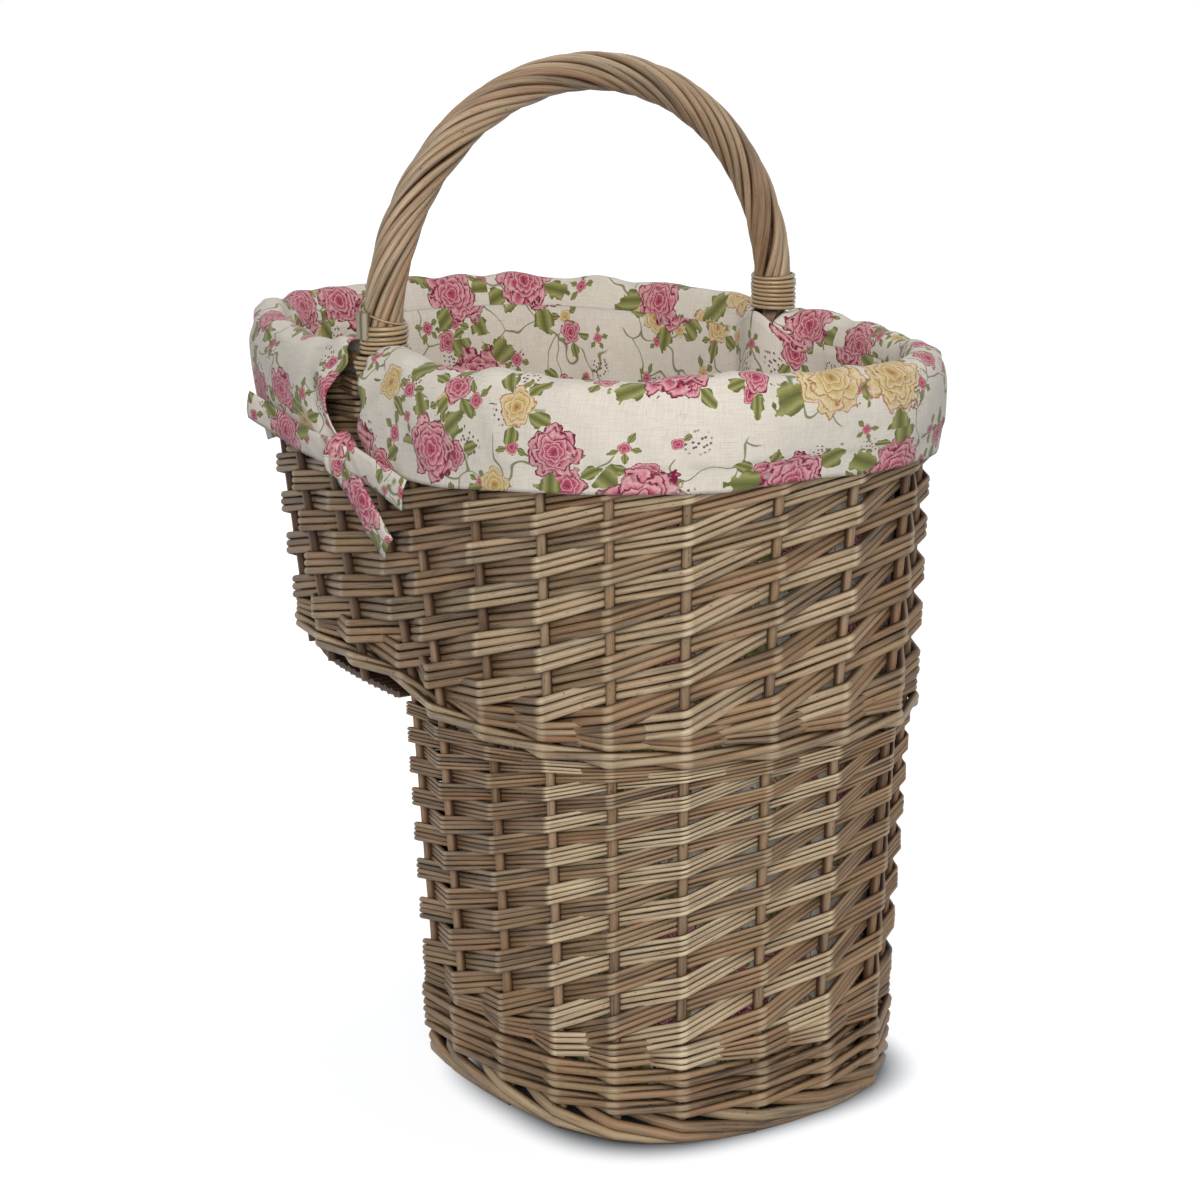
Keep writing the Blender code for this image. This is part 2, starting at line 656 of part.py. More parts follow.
def build_lining():
    """The cloth bag: down the walls, over the overhang's floor, down the riser and across the base."""
    inset = WOVEN_REACH + KINK_GAP + LINING_EASE
    floor = FLOOR_RUN + STAKE_RADIUS + GAP
    bottom = WALE_BOTTOM + PANEL_THICKNESS + GAP
    foot_corner = FOOT_BACK + CORNER_INSET + inset
    corner = STEP_BACK + CORNER_INSET + inset
    foot = foot_plan(inset)
    step = step_plan(inset)
    overhang = overhang_plan(inset)
    rim = rim_plan(inset)
    top = RIM_HEIGHT - LINING_TOP_DROP
    free = front_arc(rim, 0.0)[-1].y - (leg_centre(RIM_HEIGHT) - CORE_RADIUS)
    bulge = (free + LEG_BULGE_EASE) / (1 - (RIM_CORNER / LEG_BULGE_WIDTH) ** 2) ** 2
    rings = [bag_ring(front_arc(foot, foot_corner), back_arc(foot, foot_corner), bottom),
             bag_ring(front_arc(step, corner), back_arc(step, corner), floor)]
    low = bag_ring(front_arc(overhang, corner), back_arc(overhang, corner), floor + LINING_THICKNESS)
    flat = bag_ring(front_arc(rim, RIM_CORNER), back_arc(rim, RIM_CORNER), top)
    full = bag_ring(front_arc(rim, RIM_CORNER), back_arc(rim, RIM_CORNER), top, bulge)
    rings.append(low)
    rings.append([a.lerp(b, 1 / 3) for a, b in zip(low, flat)])
    rings.append([a.lerp(b, 2 / 3) for a, b in zip(low, full)])
    rings.append(full)
    vertices = [p for ring in rings for p in ring]
    faces = loft_faces(len(rings), PANEL_POINTS)[:-1]
    bag = add_mesh("lining_bag", vertices, faces, CLOTH, closed=False)
    thick = bag.modifiers.new("cloth", "SOLIDIFY")
    thick.thickness = LINING_THICKNESS
    thick.offset = -1.0


def hem_height(x):
    """The height of the cuff's hem, which hangs lower towards the overhang."""
    return RIM_BORDER_CENTRE - CUFF_DROP + CUFF_SLOPE_SHARE * x


def cuff_profile(x):
    """The cuff's course over the border at x: outward distance from the wall's stakes, and height."""
    lift = (RIM_BORDER_RADIUS + GAP + CUFF_THICKNESS / 2) / cos(pi / 8) + CUFF_EASE / 2
    side = lift * sqrt(0.5)
    outside = WOVEN_REACH + CUFF_EASE + CUFF_THICKNESS / 2
    hem = hem_height(x)
    return [(-lift, RIM_HEIGHT + CUFF_EASE), (-lift, RIM_BORDER_CENTRE), (-side, RIM_BORDER_CENTRE + side),
            (0.0, RIM_BORDER_CENTRE + lift), (side, RIM_BORDER_CENTRE + side),
            (outside, RIM_BORDER_CENTRE), (outside + CUFF_STAND, (RIM_BORDER_CENTRE + hem) / 2),
            (outside + CUFF_STAND / 2, hem)]


def build_cuff(name, rim_line, step_line):
    """The lining's turned-over edge along one part of the rim. It follows the lean of the wall."""
    rims = [along(rim_line, i / (CUFF_POINTS - 1)) for i in range(CUFF_POINTS)]
    steps = [along(step_line, i / (CUFF_POINTS - 1)) for i in range(CUFF_POINTS)]
    vertices = []
    for i, (rim, step) in enumerate(zip(rims, steps)):
        tangent = (rims[min(CUFF_POINTS - 1, i + 1)] - rims[max(0, i - 1)]).normalized()
        normal = Vector((tangent.y, -tangent.x))
        profile = cuff_profile(rim.x)
        for out, height in profile:
            stake = upper_line(step, rim)(min(height, RIM_HEIGHT))
            vertices.append(Vector((*(stake + normal * out), height)))
    width = len(profile)
    faces = []
    for i in range(CUFF_POINTS - 1):
        for k in range(width - 1):
            a = i * width + k
            faces.append((a, a + width, a + width + 1, a + 1))
    cuff = add_mesh(name, vertices, faces, CLOTH, closed=False)
    thick = cuff.modifiers.new("cloth", "SOLIDIFY")
    thick.thickness = CUFF_THICKNESS
    thick.offset = 0.0


def tie_plane(x, height):
    """How far out a tie lies at a place on the side: against the cuff, with the lean of the wall."""
    wall = upper_line(front_arc(overhang_plan(), x)[-1], front_arc(rim_plan(), x)[-1])
    return wall(min(height, RIM_HEIGHT)).y + CUFF_OUTSIDE + TIE_THICKNESS / 2 + KINK_GAP


def build_tie(name, course, side, layer=0):
    """A flat cloth band that hangs along a course of (x, height) points on one side of the basket."""
    proud = layer * (TIE_THICKNESS + GAP)
    vertices = []
    for i, (x, height) in enumerate(course):
        before = Vector(course[max(0, i - 1)])
        after = Vector(course[min(len(course) - 1, i + 1)])
        way = (after - before).normalized()
        across = Vector((-way.y, way.x)) * TIE_WIDTH / 2
        for sign in (-1, 1):
            edge = Vector((x, height)) + across * sign
            vertices.append(Vector((edge.x, side * (tie_plane(edge.x, edge.y) + proud), edge.y)))
    faces = [(2 * i, 2 * i + 2, 2 * i + 3, 2 * i + 1) for i in range(len(course) - 1)]
    tie = add_mesh(name, vertices, faces, CLOTH, closed=False)
    thick = tie.modifiers.new("cloth", "SOLIDIFY")
    thick.thickness = TIE_THICKNESS
    thick.offset = 0.0


def build_ties(label, side):
    """A knot below the handle's foot with its band and two hanging tails."""
    middle = hem_height(0.0) + TIE_WIDTH
    mesh = bpy.data.meshes.new(f"{label}_knot")
    work = bmesh.new()
    bmesh.ops.create_uvsphere(work, u_segments=KNOT_POINTS, v_segments=KNOT_POINTS // 2, radius=0.5)
    bmesh.ops.scale(work, vec=(KNOT_WIDTH, KNOT_DEPTH, KNOT_HEIGHT), verts=work.verts)
    work.to_mesh(mesh)
    work.free()
    knot = place(bpy.data.objects.new(f"{label}_knot", mesh), CLOTH)
    mesh.shade_smooth()
    knot.location = (0.0, side * (tie_plane(0.0, middle) + KNOT_DEPTH / 4), middle)
    start = KNOT_WIDTH / 2 + GAP
    under = middle - KNOT_HEIGHT / 2 - GAP
    strap = [(-start - out * KNOT_WIDTH, middle + up * TIE_WIDTH) for out, up in STRAP_SHARES]
    tail = [(start + out * KNOT_WIDTH, middle + up * TIE_WIDTH) for out, up in TAIL_SHARES]
    hang = [(out * TIE_WIDTH, under + up * TIE_WIDTH) for out, up in HANG_SHARES]
    build_tie(f"{label}_tie_band", strap, side)
    build_tie(f"{label}_tie_tail_1", tail, side)
    build_tie(f"{label}_tie_tail_2", hang, side, layer=1)


def centre_on_floor():
    """Move the whole basket so that the middle of its box stands on the origin."""
    bpy.context.view_layer.update()
    graph = bpy.context.evaluated_depsgraph_get()
    xs = []
    for part in PARTS.objects:
        solid = part.evaluated_get(graph)
        mesh = solid.to_mesh()
        xs += [(solid.matrix_world @ v.co).x for v in mesh.vertices]
        solid.to_mesh_clear()
    FRAME.location.x = -(min(xs) + max(xs)) / 2
    bpy.context.view_layer.update()


clear_scene()
PARTS = new_collection("stair_basket")
CUTTERS = new_collection("cutters")
FRAME = bpy.data.objects.new("basket_frame", None)
bpy.context.scene.collection.objects.link(FRAME)
STAKE_WILLOW = make_material("washed_willow_stake", (0.235, 0.165, 0.115), 0.55)
WEAVE_WILLOW = make_material("washed_willow_weave", (0.255, 0.190, 0.130), 0.60)
CANE = make_material("split_cane", (0.300, 0.190, 0.110), 0.40)
CLOTH = make_material("printed_cotton_linen", (0.700, 0.650, 0.560), 0.90)

FRONT, BACK, RISER = stake_plans()
build_stakes(FRONT, BACK, RISER)
build_foot(FRONT, RISER)
build_weave(FRONT, BACK, RISER)
build_overhang_floor()
build_rim(len(FRONT) + len(BACK))
build_handle_rope()
build_handle_core()
build_lashing("near_lashing", NEAR_TURNS, 0.0, 1)
build_lashing("far_lashing", FAR_TURNS, ARCH_LENGTH, -1)
build_pegs()
build_lining()
build_cuff("front_cuff", front_arc(rim_plan(), CUFF_SLIT / 2), front_arc(overhang_plan(), CUFF_SLIT / 2))
build_cuff("back_cuff", back_arc(rim_plan(), -CUFF_SLIT / 2), back_arc(overhang_plan(), -CUFF_SLIT / 2))
build_ties("near", -1)
build_ties("far", 1)
centre_on_floor()
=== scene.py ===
"""Finish of the stair basket: its willow rods, its lashed bow handle and its printed cotton lining.

Metres, +Z up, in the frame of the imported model. +X points to the tall round front.
"""
from collections import namedtuple
from math import copysign, cos, exp, floor, pi, radians, sin

import bpy
import numpy as np
from bpy.props import FloatProperty, IntProperty, PointerProperty, StringProperty
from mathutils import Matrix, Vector, noise


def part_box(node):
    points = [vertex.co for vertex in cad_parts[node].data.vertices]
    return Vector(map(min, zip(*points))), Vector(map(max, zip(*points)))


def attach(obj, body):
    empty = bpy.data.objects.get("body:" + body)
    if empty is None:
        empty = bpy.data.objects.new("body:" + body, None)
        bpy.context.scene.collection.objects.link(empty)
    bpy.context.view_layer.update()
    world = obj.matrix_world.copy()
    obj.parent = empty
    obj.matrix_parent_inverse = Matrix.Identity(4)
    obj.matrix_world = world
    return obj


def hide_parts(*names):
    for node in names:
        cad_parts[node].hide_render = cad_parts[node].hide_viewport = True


bl_info = {
    "name": "Stair basket finish",
    "version": (1, 0, 0),
    "blender": (4, 5, 0),
    "location": "View3D > Sidebar > Stair Basket",
    "description": "Woven willow walls, lashed bow handle and printed lining for the stair basket",
    "category": "Object",
}

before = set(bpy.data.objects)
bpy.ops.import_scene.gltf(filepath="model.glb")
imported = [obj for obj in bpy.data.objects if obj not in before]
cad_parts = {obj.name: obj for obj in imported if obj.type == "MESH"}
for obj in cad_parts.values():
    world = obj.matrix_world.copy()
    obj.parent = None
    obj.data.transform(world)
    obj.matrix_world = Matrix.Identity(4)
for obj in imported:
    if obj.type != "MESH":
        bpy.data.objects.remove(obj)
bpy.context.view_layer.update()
BOW_LOW, BOW_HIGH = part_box("handle_rope")
SHIFT = (BOW_LOW.x + BOW_HIGH.x) / 2

# Plans of the basket, as in the solids; x is from the plane of the handle. Each has its front, back,
# half width and widest place, and the powers of its front and back half ovals
FOOT_BACK, STEP_BACK = -0.0020, -0.0065
PLANS = {
    "foot": (0.2015, FOOT_BACK, 0.1160, 0.0800, 2.6, 11.0),
    "step": (0.2090, STEP_BACK, 0.1300, 0.0800, 2.6, 11.0),
    "overhang": (0.2090, -0.2040, 0.1300, 0.0800, 2.6, 3.6),
    "rim": (0.2220, -0.2280, 0.1495, 0.0175, 2.5, 3.0),
}
PLAN_POINTS = 720
CORNER_INSET = 0.0060
FOOT_CUT, STEP_CUT, RIM_CUT = FOOT_BACK + CORNER_INSET, STEP_BACK + CORNER_INSET, -0.0115
# Heights
FOOT_TOP, STEP_HEIGHT, RIM_HEIGHT = 0.0136, 0.2320, 0.4220
WALE_BOTTOM, WEAVE_BOTTOM = 0.0139, 0.0480
FLOOR_RUN = 0.2318
OVERHANG_RISE, CORNER_RISE = 0.0110, 0.8
RIM_CENTRE, RIM_TOP = 0.4283, 0.4343
# Stakes: the steps between those at the front, and how many stand at the sides and at the riser
FRONT_STEPS = (0.90, 1.14, 1.00, 0.81, 0.84, 1.05, 1.03, 1.05, 0.84, 0.81, 1.00, 1.14, 0.90)
RISER_STAKES, SIDE_STAKES, SIDE_STEP = 5, 3, 1.17
STAKE_RADIUS, BEND_RADIUS = 0.0030, 0.0080
# Bow: its centre line, from one lower end of the rope to the other, and the rope's radius
HALF_SPAN, ROPE_BOTTOM, HANDLE_TOP, ROPE_RADIUS = 0.1405, 0.4403, 0.5880, 0.0112
SPRING = HANDLE_TOP - HALF_SPAN
LEG = SPRING - ROPE_BOTTOM
ARCH = 2 * LEG + pi * HALF_SPAN
# Cloth
HEM_DROP, HEM_SLOPE = 0.0616, 0.075
SLIT = 0.0148
LINING_INSET = 0.0104
TIE_CLOTH = 0.0010
LINING_GAP = 0.0125
SLIT_GATHERS = 0.0021
# Weave: the room between rod and stake, and the least lean, which keeps a rod near the wall at a sharp turn
ROD_GAP, LEAST_LEAN = 0.0003, 0.68
# A bundle nearer to an edge than this many levels is packed, down to the least squeeze
EDGE_LEVELS, LEAST_SQUEEZE, OUTSIDE_LIMIT, INSIDE_LIMIT = 1.5, 0.30, 0.30, -0.70
# Rods press on each other, so both rod and bundle fill a little more than their share
ROD_FILL, BUNDLE_FILL = 1.09, 1.05
# Places along a rod round its bend at a stake. Within BEND_CROWN of a bend in front of a stake the rod is
# painted paler, a painted highlight where the bend catches the lamps
BENDS, WALE_BENDS, BEND_CROWN = (-0.0034, -0.0012, 0.0012, 0.0034), (-0.0045, -0.0015, 0.0015, 0.0045), 0.002
WALE_ROOM, WALE_PROUD = 0.0054, 0.0014
FOOT_WALE_CENTRE, FOOT_WALE_PITCH, FOOT_WALE_ROWS = 0.0230, 0.0097, 3
# Length of a rod's end past its last bend, and the mark of a packed bundle, which gets no painted highlight
# band
STUB, PACKED = 0.006, -9


class BasketWeave(bpy.types.PropertyGroup):
    """Sizes of the woven walls."""

    lower_rods: IntProperty(name="Lower rods", description="Rods woven side by side below the step",
                            default=4, min=1, max=8)
    upper_rods: IntProperty(name="Upper rods", description="Rods woven side by side above the step",
                            default=3, min=1, max=8)
    rod_sides: IntProperty(name="Rod sides", description="Faces round each woven rod",
                           default=8, min=6, max=16)
    wale_rod: FloatProperty(name="Wale rod", description="Radius of the rods of the wales",
                            default=0.0024, unit="LENGTH", precision=4)
    border_rod: FloatProperty(name="Border rod", description="Radius of the rods of the foot border",
                              default=0.0033, unit="LENGTH", precision=4)


class BasketBow(bpy.types.PropertyGroup):
    """Sizes of the roped bow and its lashings."""

    strands: IntProperty(name="Strands", description="Rods twisted round the bow's core",
                         default=12, min=5, max=16)
    strand_radius: FloatProperty(name="Strand", description="Radius of a twisted rod at its thick end",
                                 default=0.0025, unit="LENGTH", precision=4)
    pitch: FloatProperty(name="Pitch", description="Length of one full twist", default=0.180, unit="LENGTH")
    cane_radius: FloatProperty(name="Cane", description="Radius of the wound cane", default=0.0013,
                               unit="LENGTH", precision=4)


class BasketCloth(bpy.types.PropertyGroup):
    """Sizes of the lining and its ties."""

    thickness: FloatProperty(name="Thickness", description="Thickness of the cotton", default=0.0010,
                             unit="LENGTH", precision=4)
    fold: FloatProperty(name="Folds", description="Depth of the soft folds along the cuff", default=0.0036,
                        unit="LENGTH", precision=4)
    motif: FloatProperty(name="Motif spacing", description="Distance between the large blossoms",
                         default=0.074, unit="LENGTH", precision=3)
    cream: StringProperty(name="Ground", description="Colour of the unprinted cloth", default="#e6dfd3")


# Nodes

def linear(hex_colour):
    """An sRGB hex colour as linear red, green, blue and alpha."""
    parts = [int(hex_colour[i:i + 2], 16) / 255 for i in (1, 3, 5)]
    return tuple(c / 12.92 if c <= 0.04045 else ((c + 0.055) / 1.055) ** 2.4 for c in parts) + (1.0,)


def add_node(tree, kind, settings=None, inputs=None):
    """Add a node, set its properties, and give its inputs values, hex colours or links."""
    made = tree.nodes.new(kind)
    for key, value in (settings or {}).items():
        setattr(made, key, value)
    for key, value in (inputs or {}).items():
        if isinstance(value, bpy.types.NodeSocket):
            tree.links.new(value, made.inputs[key])
        else:
            colour = isinstance(value, str) and value.startswith("#")
            made.inputs[key].default_value = linear(value) if colour else value
    return made


class Nodes:
    """The nodes of a material or world, with a short call for each kind that is used often."""

    def __init__(self, tree):
        self.tree = tree

    def maths(self, operation, *values, clamp=False):
        """One step of a sum."""
        return add_node(self.tree, "ShaderNodeMath", {"operation": operation, "use_clamp": clamp},
                        dict(enumerate(values))).outputs[0]

    def vector(self, operation, *values):
        """One step of a sum with vectors."""
        made = add_node(self.tree, "ShaderNodeVectorMath", {"operation": operation}, dict(enumerate(values)))
        return made.outputs["Value" if operation in ("DOT_PRODUCT", "LENGTH") else 0]

    def remap(self, value, low, high, to_low=0.0, to_high=1.0, soft=False):
        """A value brought from one range to another and held at its ends."""
        return add_node(self.tree, "ShaderNodeMapRange",
                        {"interpolation_type": "SMOOTHSTEP" if soft else "LINEAR"},
                        {"Value": value, "From Min": low, "From Max": high,
                         "To Min": to_low, "To Max": to_high}).outputs[0]

    def join(self, x, y, z=0.0):
        """A vector from three values."""
        return add_node(self.tree, "ShaderNodeCombineXYZ", inputs={0: x, 1: y, 2: z}).outputs[0]

    def place(self, vector, scale=(1.0, 1.0, 1.0), shift=(0.0, 0.0, 0.0)):
        """A vector scaled and moved."""
        return add_node(self.tree, "ShaderNodeMapping",
                        inputs={"Vector": vector, "Scale": scale, "Location": shift}).outputs[0]

    def cloud(self, vector, scale, detail, roughness=0.5, flat=False, output=0):
        """A soft uneven pattern."""
        return add_node(self.tree, "ShaderNodeTexNoise", {"noise_dimensions": "2D" if flat else "3D"},
                        {"Vector": vector, "Scale": scale, "Detail": detail,
                         "Roughness": roughness}).outputs[output]

    def cells(self, vector, scale, randomness=1.0, feature="F1"):
        """Cells round scattered places, as a node's outputs."""
        return add_node(self.tree, "ShaderNodeTexVoronoi", {"voronoi_dimensions": "2D", "feature": feature},
                        {"Vector": vector, "Scale": scale, "Randomness": randomness}).outputs

    def mix(self, share, under, over, blend="MIX"):
        """Two colours mixed."""
        return add_node(self.tree, "ShaderNodeMix", {"data_type": "RGBA", "blend_type": blend},
                        {0: share, 6: under, 7: over}).outputs[2]

    def ramp(self, value, *stops):
        """A colour ramp with pairs of place and hex colour."""
        made = add_node(self.tree, "ShaderNodeValToRGB", inputs={0: value})
        elements = made.color_ramp.elements
        while len(elements) < len(stops):
            elements.new(1.0)
        for element, (place, colour) in zip(elements, stops):
            element.position = place
            element.color = linear(colour)
        return made.outputs[0]

    def surface(self, shader, colour, height, strength, distance, **values):
        """Give the shader its colour, its fine relief and plain values."""
        self.tree.links.new(colour, shader.inputs["Base Color"])
        relief = add_node(self.tree, "ShaderNodeBump",
                          inputs={"Height": height, "Strength": strength, "Distance": distance})
        self.tree.links.new(relief.outputs[0], shader.inputs["Normal"])
        for key, value in values.items():
            shader.inputs[key.replace("_", " ")].default_value = value


def new_material(name):
    """A material with its nodes and its shader."""
    material = bpy.data.materials.new(name)
    material.use_nodes = True
    return material, Nodes(material.node_tree), material.node_tree.nodes["Principled BSDF"]


def seen_ray(nodes):
    """1 for what the camera sees, also mirrored or through glass, and 0 for the light on the basket."""
    path = add_node(nodes.tree, "ShaderNodeLightPath").outputs
    ray = nodes.maths("MAXIMUM", path["Is Camera Ray"], path["Is Glossy Ray"])
    return nodes.maths("MAXIMUM", ray, path["Is Transmission Ray"])


# Plans and stakes

def plan(name, inset=0.0):
    """One of the basket's plans from above, counter-clockwise: two unlike half ovals."""
    front, back, half_width, widest, front_power, back_power = PLANS[name]
    points = []
    for i in range(PLAN_POINTS):
        angle = -pi + 2 * pi * i / PLAN_POINTS
        across = cos(angle)
        power = front_power if across >= 0 else back_power
        reach = front - inset - widest if across >= 0 else widest - back - inset
        x = widest + reach * copysign(abs(across) ** (2 / power), across)
        y = (half_width - inset) * copysign(abs(sin(angle)) ** (2 / power), sin(angle))
        points.append(Vector((x, y)))
    return points


def crossing(a, b, cut):
    """The point between a and b where x equals cut."""
    return a.lerp(b, (cut - a.x) / (b.x - a.x))


def front_arc(points, cut):
    """The part of a plan in front of cut, from the -Y side round to the +Y side."""
    inside = [i for i in range(len(points)) if points[i].x >= cut]
    start = crossing(points[inside[0] - 1], points[inside[0]], cut)
    end = crossing(points[inside[-1]], points[(inside[-1] + 1) % len(points)], cut)
    return [start] + [points[i] for i in inside] + [end]


def back_arc(points, cut):
    """The part of a plan behind cut, from the +Y side round to the -Y side."""
    ends = front_arc(points, cut)
    behind = [p for p in points if p.x < cut]
    return [ends[-1]] + [p for p in behind if p.y > 0] + [p for p in behind if p.y <= 0] + [ends[0]]


def along(points, share):
    """The point at a share of the length of a line of points."""
    lengths = [(b - a).length for a, b in zip(points, points[1:])]
    left = share * sum(lengths)
    for a, b, length in zip(points, points[1:], lengths):
        if left <= length and length > 0:
            return a.lerp(b, left / length)
        left -= length
    return points[-1].copy()


def unit(vectors):
    """Vectors of length one."""
    return vectors / np.maximum(np.linalg.norm(vectors, axis=-1, keepdims=True), 1e-9)


def running(steps):
    """Running lengths from the lengths of the steps, from nought."""
    return np.concatenate([[0.0], np.cumsum(steps)])


def spans(grid, axis=0):
    """The lengths between neighbours along one axis of a line or grid of points."""
    return np.linalg.norm(np.diff(grid, axis=axis), axis=-1)


def even_points(points, count):
    """Points spaced evenly along a line of points."""
    line = np.array([tuple(p) for p in points])
    run = running(spans(line))
    wanted = np.linspace(0.0, run[-1], count)
    return np.stack([np.interp(wanted, run, column) for column in line.T], axis=1)


def spread(weights):
    """Running shares of a row of weights, with both ends."""
    shares = [0.0]
    for weight in weights:
        shares.append(shares[-1] + weight / sum(weights))
    return shares


def stake_plans():
    """Where each stake stands at the foot, the step and the rim, in order round the basket."""
    sides = [SIDE_STEP] * SIDE_STAKES
    riser = [1.0] * (RISER_STAKES + 1)

    def stand(arc, shares, *plans):
        lines = [arc(plan(name), cut) for name, cut in plans]
        return [tuple(along(line, share) for line in lines) for share in shares]

    return (stand(front_arc, spread(FRONT_STEPS), ("foot", FOOT_CUT), ("step", STEP_CUT), ("rim", RIM_CUT)),
            stand(back_arc, spread(sides + riser + sides)[1:-1], ("overhang", STEP_CUT), ("rim", RIM_CUT)),
            stand(back_arc, spread(riser)[1:-1], ("foot", FOOT_CUT), ("step", STEP_CUT)))


def lower_line(foot, step):
    """A stake's course from foot to step, as a function of height."""
    return lambda z: foot.lerp(step, (z - FOOT_TOP) / (STEP_HEIGHT - FOOT_TOP))


def upper_line(step, rim):
    """A stake's course from step to rim, as a function of height."""
    return lambda z: step.lerp(rim, (z - STEP_HEIGHT) / (RIM_HEIGHT - STEP_HEIGHT))


FRONT, BACK, RISER = stake_plans()
LOWER = [lower_line(foot, step) for foot, step, _ in FRONT] + [lower_line(*pair) for pair in RISER]
UPPER = [upper_line(step, rim) for _, step, rim in FRONT] + [upper_line(*pair) for pair in BACK]
UPPER_RISES = ([CORNER_RISE * OVERHANG_RISE] + [0.0] * (len(FRONT) - 2) + [CORNER_RISE * OVERHANG_RISE]
               + [OVERHANG_RISE] * len(BACK))


def wall_at(lines, index, z):
    """Place, outward direction, turn of the wall and distance to the next stake, at a stake and height."""
    count = len(lines)
    here = lines[index % count](z)
    before = here - lines[(index - 1) % count](z)
    after = lines[(index + 1) % count](z) - here
    tangent = (before.normalized() + after.normalized()).normalized()
    return here, Vector((tangent.y, -tangent.x)), before.angle(after, 0.0), after.length


# Rods

class Rods:
    """A bundle of rods to be made into one piece. Each is a line of places with its thickness and its pale
    share, which is partly wash and partly painted highlight.
    """

    def __init__(self):
        self.points, self.edges, self.count = [], [], 0
        self.values = {key: [] for key in ("thick", "pale", "rod", "run")}
        self.vectors = {"outward": [], "flank": []}

    def add(self, points, outward, radii, pale):
        """Add one rod. outward, radii and pale may be single values or one for each point."""
        points = np.asarray(points, float)
        total = len(points)
        tangent = np.gradient(points, axis=0)
        flank = unit(np.cross(np.broadcast_to(np.asarray(outward, float), (total, 3)), tangent))
        start = len(self.points)
        self.points += [(x + SHIFT, y, z) for x, y, z in points]
        self.edges += [(start + i, start + i + 1) for i in range(total - 1)]
        for key, value in zip(self.values, (radii, pale, self.count, running(spans(points)))):
            self.values[key] += list(np.broadcast_to(np.asarray(value, float), (total,)))
        self.vectors["outward"] += list(unit(np.cross(tangent, flank)))
        self.vectors["flank"] += list(flank)
        self.count += 1


def rod_tree():
    """Geometry nodes that sweep a round section along every rod and keep where each point lies on it."""
    tree = bpy.data.node_groups.new("swept_rods", "GeometryNodeTree")
    for name, way, kind in (("Geometry", "INPUT", "Geometry"), ("Sides", "INPUT", "Int"),
                            ("Finish", "INPUT", "Material"), ("Geometry", "OUTPUT", "Geometry")):
        tree.interface.new_socket(name, in_out=way, socket_type="NodeSocket" + kind)
    given = add_node(tree, "NodeGroupInput").outputs
    lines = add_node(tree, "GeometryNodeMeshToCurve", inputs={"Mesh": given["Geometry"]})
    circle = add_node(tree, "GeometryNodeCurvePrimitiveCircle",
                      inputs={"Resolution": given["Sides"], "Radius": 1.0})
    thick = add_node(tree, "GeometryNodeInputNamedAttribute", {"data_type": "FLOAT"}, {"Name": "thick"})
    geometry = add_node(tree, "GeometryNodeCurveToMesh",
                        inputs={"Curve": lines.outputs[0], "Profile Curve": circle.outputs[0],
                                "Scale": thick.outputs[0], "Fill Caps": True}).outputs[0]
    normal = add_node(tree, "GeometryNodeInputNormal")
    for wanted, source in (("crown", "outward"), ("side", "flank")):
        vector = add_node(tree, "GeometryNodeInputNamedAttribute", {"data_type": "FLOAT_VECTOR"},
                          {"Name": source})
        dot = add_node(tree, "ShaderNodeVectorMath", {"operation": "DOT_PRODUCT"},
                       {0: normal.outputs[0], 1: vector.outputs[0]})
        geometry = add_node(tree, "GeometryNodeStoreNamedAttribute",
                            {"data_type": "FLOAT", "domain": "POINT"},
                            {"Geometry": geometry, "Name": wanted, "Value": dot.outputs["Value"]}).outputs[0]
    for kind, more in (("SetShadeSmooth", {}), ("RealizeInstances", {}),
                       ("SetMaterial", {"Material": given["Finish"]})):
        geometry = add_node(tree, "GeometryNode" + kind, inputs={"Geometry": geometry, **more}).outputs[0]
    add_node(tree, "NodeGroupOutput", inputs={"Geometry": geometry})
    return tree


def bake(mesh, name, kind):
    """A modifier of a kind on a mesh, and the function that turns both into a plain mesh object."""
    source = bpy.data.objects.new(name + "_source", mesh)
    bpy.context.scene.collection.objects.link(source)

    def done():
        bpy.context.view_layer.update()
        graph = bpy.context.evaluated_depsgraph_get()
        shape = bpy.data.meshes.new_from_object(source.evaluated_get(graph))
        shape.name = name
        made = bpy.data.objects.new(name, shape)
        bpy.context.scene.collection.objects.link(made)
        bpy.data.objects.remove(source)
        return made

    return source.modifiers.new("shape", kind), done


def make_rods(name, rods, sides, material, nodes):
    """One mesh piece from a bundle of rods. It stands for the solids named in nodes."""
    mesh = bpy.data.meshes.new(name + "_lines")
    mesh.from_pydata(rods.points, rods.edges, [])
    for values, kind, field in ((rods.values, "FLOAT", "value"), (rods.vectors, "FLOAT_VECTOR", "vector")):
        for key, value in values.items():
            flat = np.array(value, np.float32).ravel()
            mesh.attributes.new(key, kind, "POINT").data.foreach_set(field, flat)
    sweep, done = bake(mesh, name, "NODES")
    sweep.node_group = bpy.data.node_groups.get("swept_rods") or rod_tree()
    sockets = {item.name: item.identifier for item in sweep.node_group.interface.items_tree
               if item.in_out == "INPUT"}
    sweep[sockets["Sides"]] = sides
    sweep[sockets["Finish"]] = finish(material)
    made = done()
    if not made.data.polygons:
        raise RuntimeError(name + " came out empty")
    for key in ("thick", "outward", "flank"):
        layer = made.data.attributes.get(key)
        if layer:
            made.data.attributes.remove(layer)
    finish_piece(made, nodes)


def finish_piece(piece, nodes):
    """Hand a piece to the frame: it rides on the basket and stands for its solids, which are hidden."""
    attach(piece, "root")
    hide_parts(*nodes)
    return piece


def wander(seed, place, size=1.0):
    """A smooth unevenness between -1 and 1, the same at each run."""
    return max(-1.0, min(1.0, 1.8 * noise.noise(Vector((place / size, seed * 7.31, seed * 1.77)))))


def lower_level(t):
    """Height of a level of the lower weave. The rods thin towards their tips, so levels draw closer."""
    return 0.0440 + 0.0295 * t - 0.000875 * t * t


def upper_level(t):
    """Height of a level of the upper weave."""
    return 0.2548 + 0.0292 * t - 0.00078 * t * t


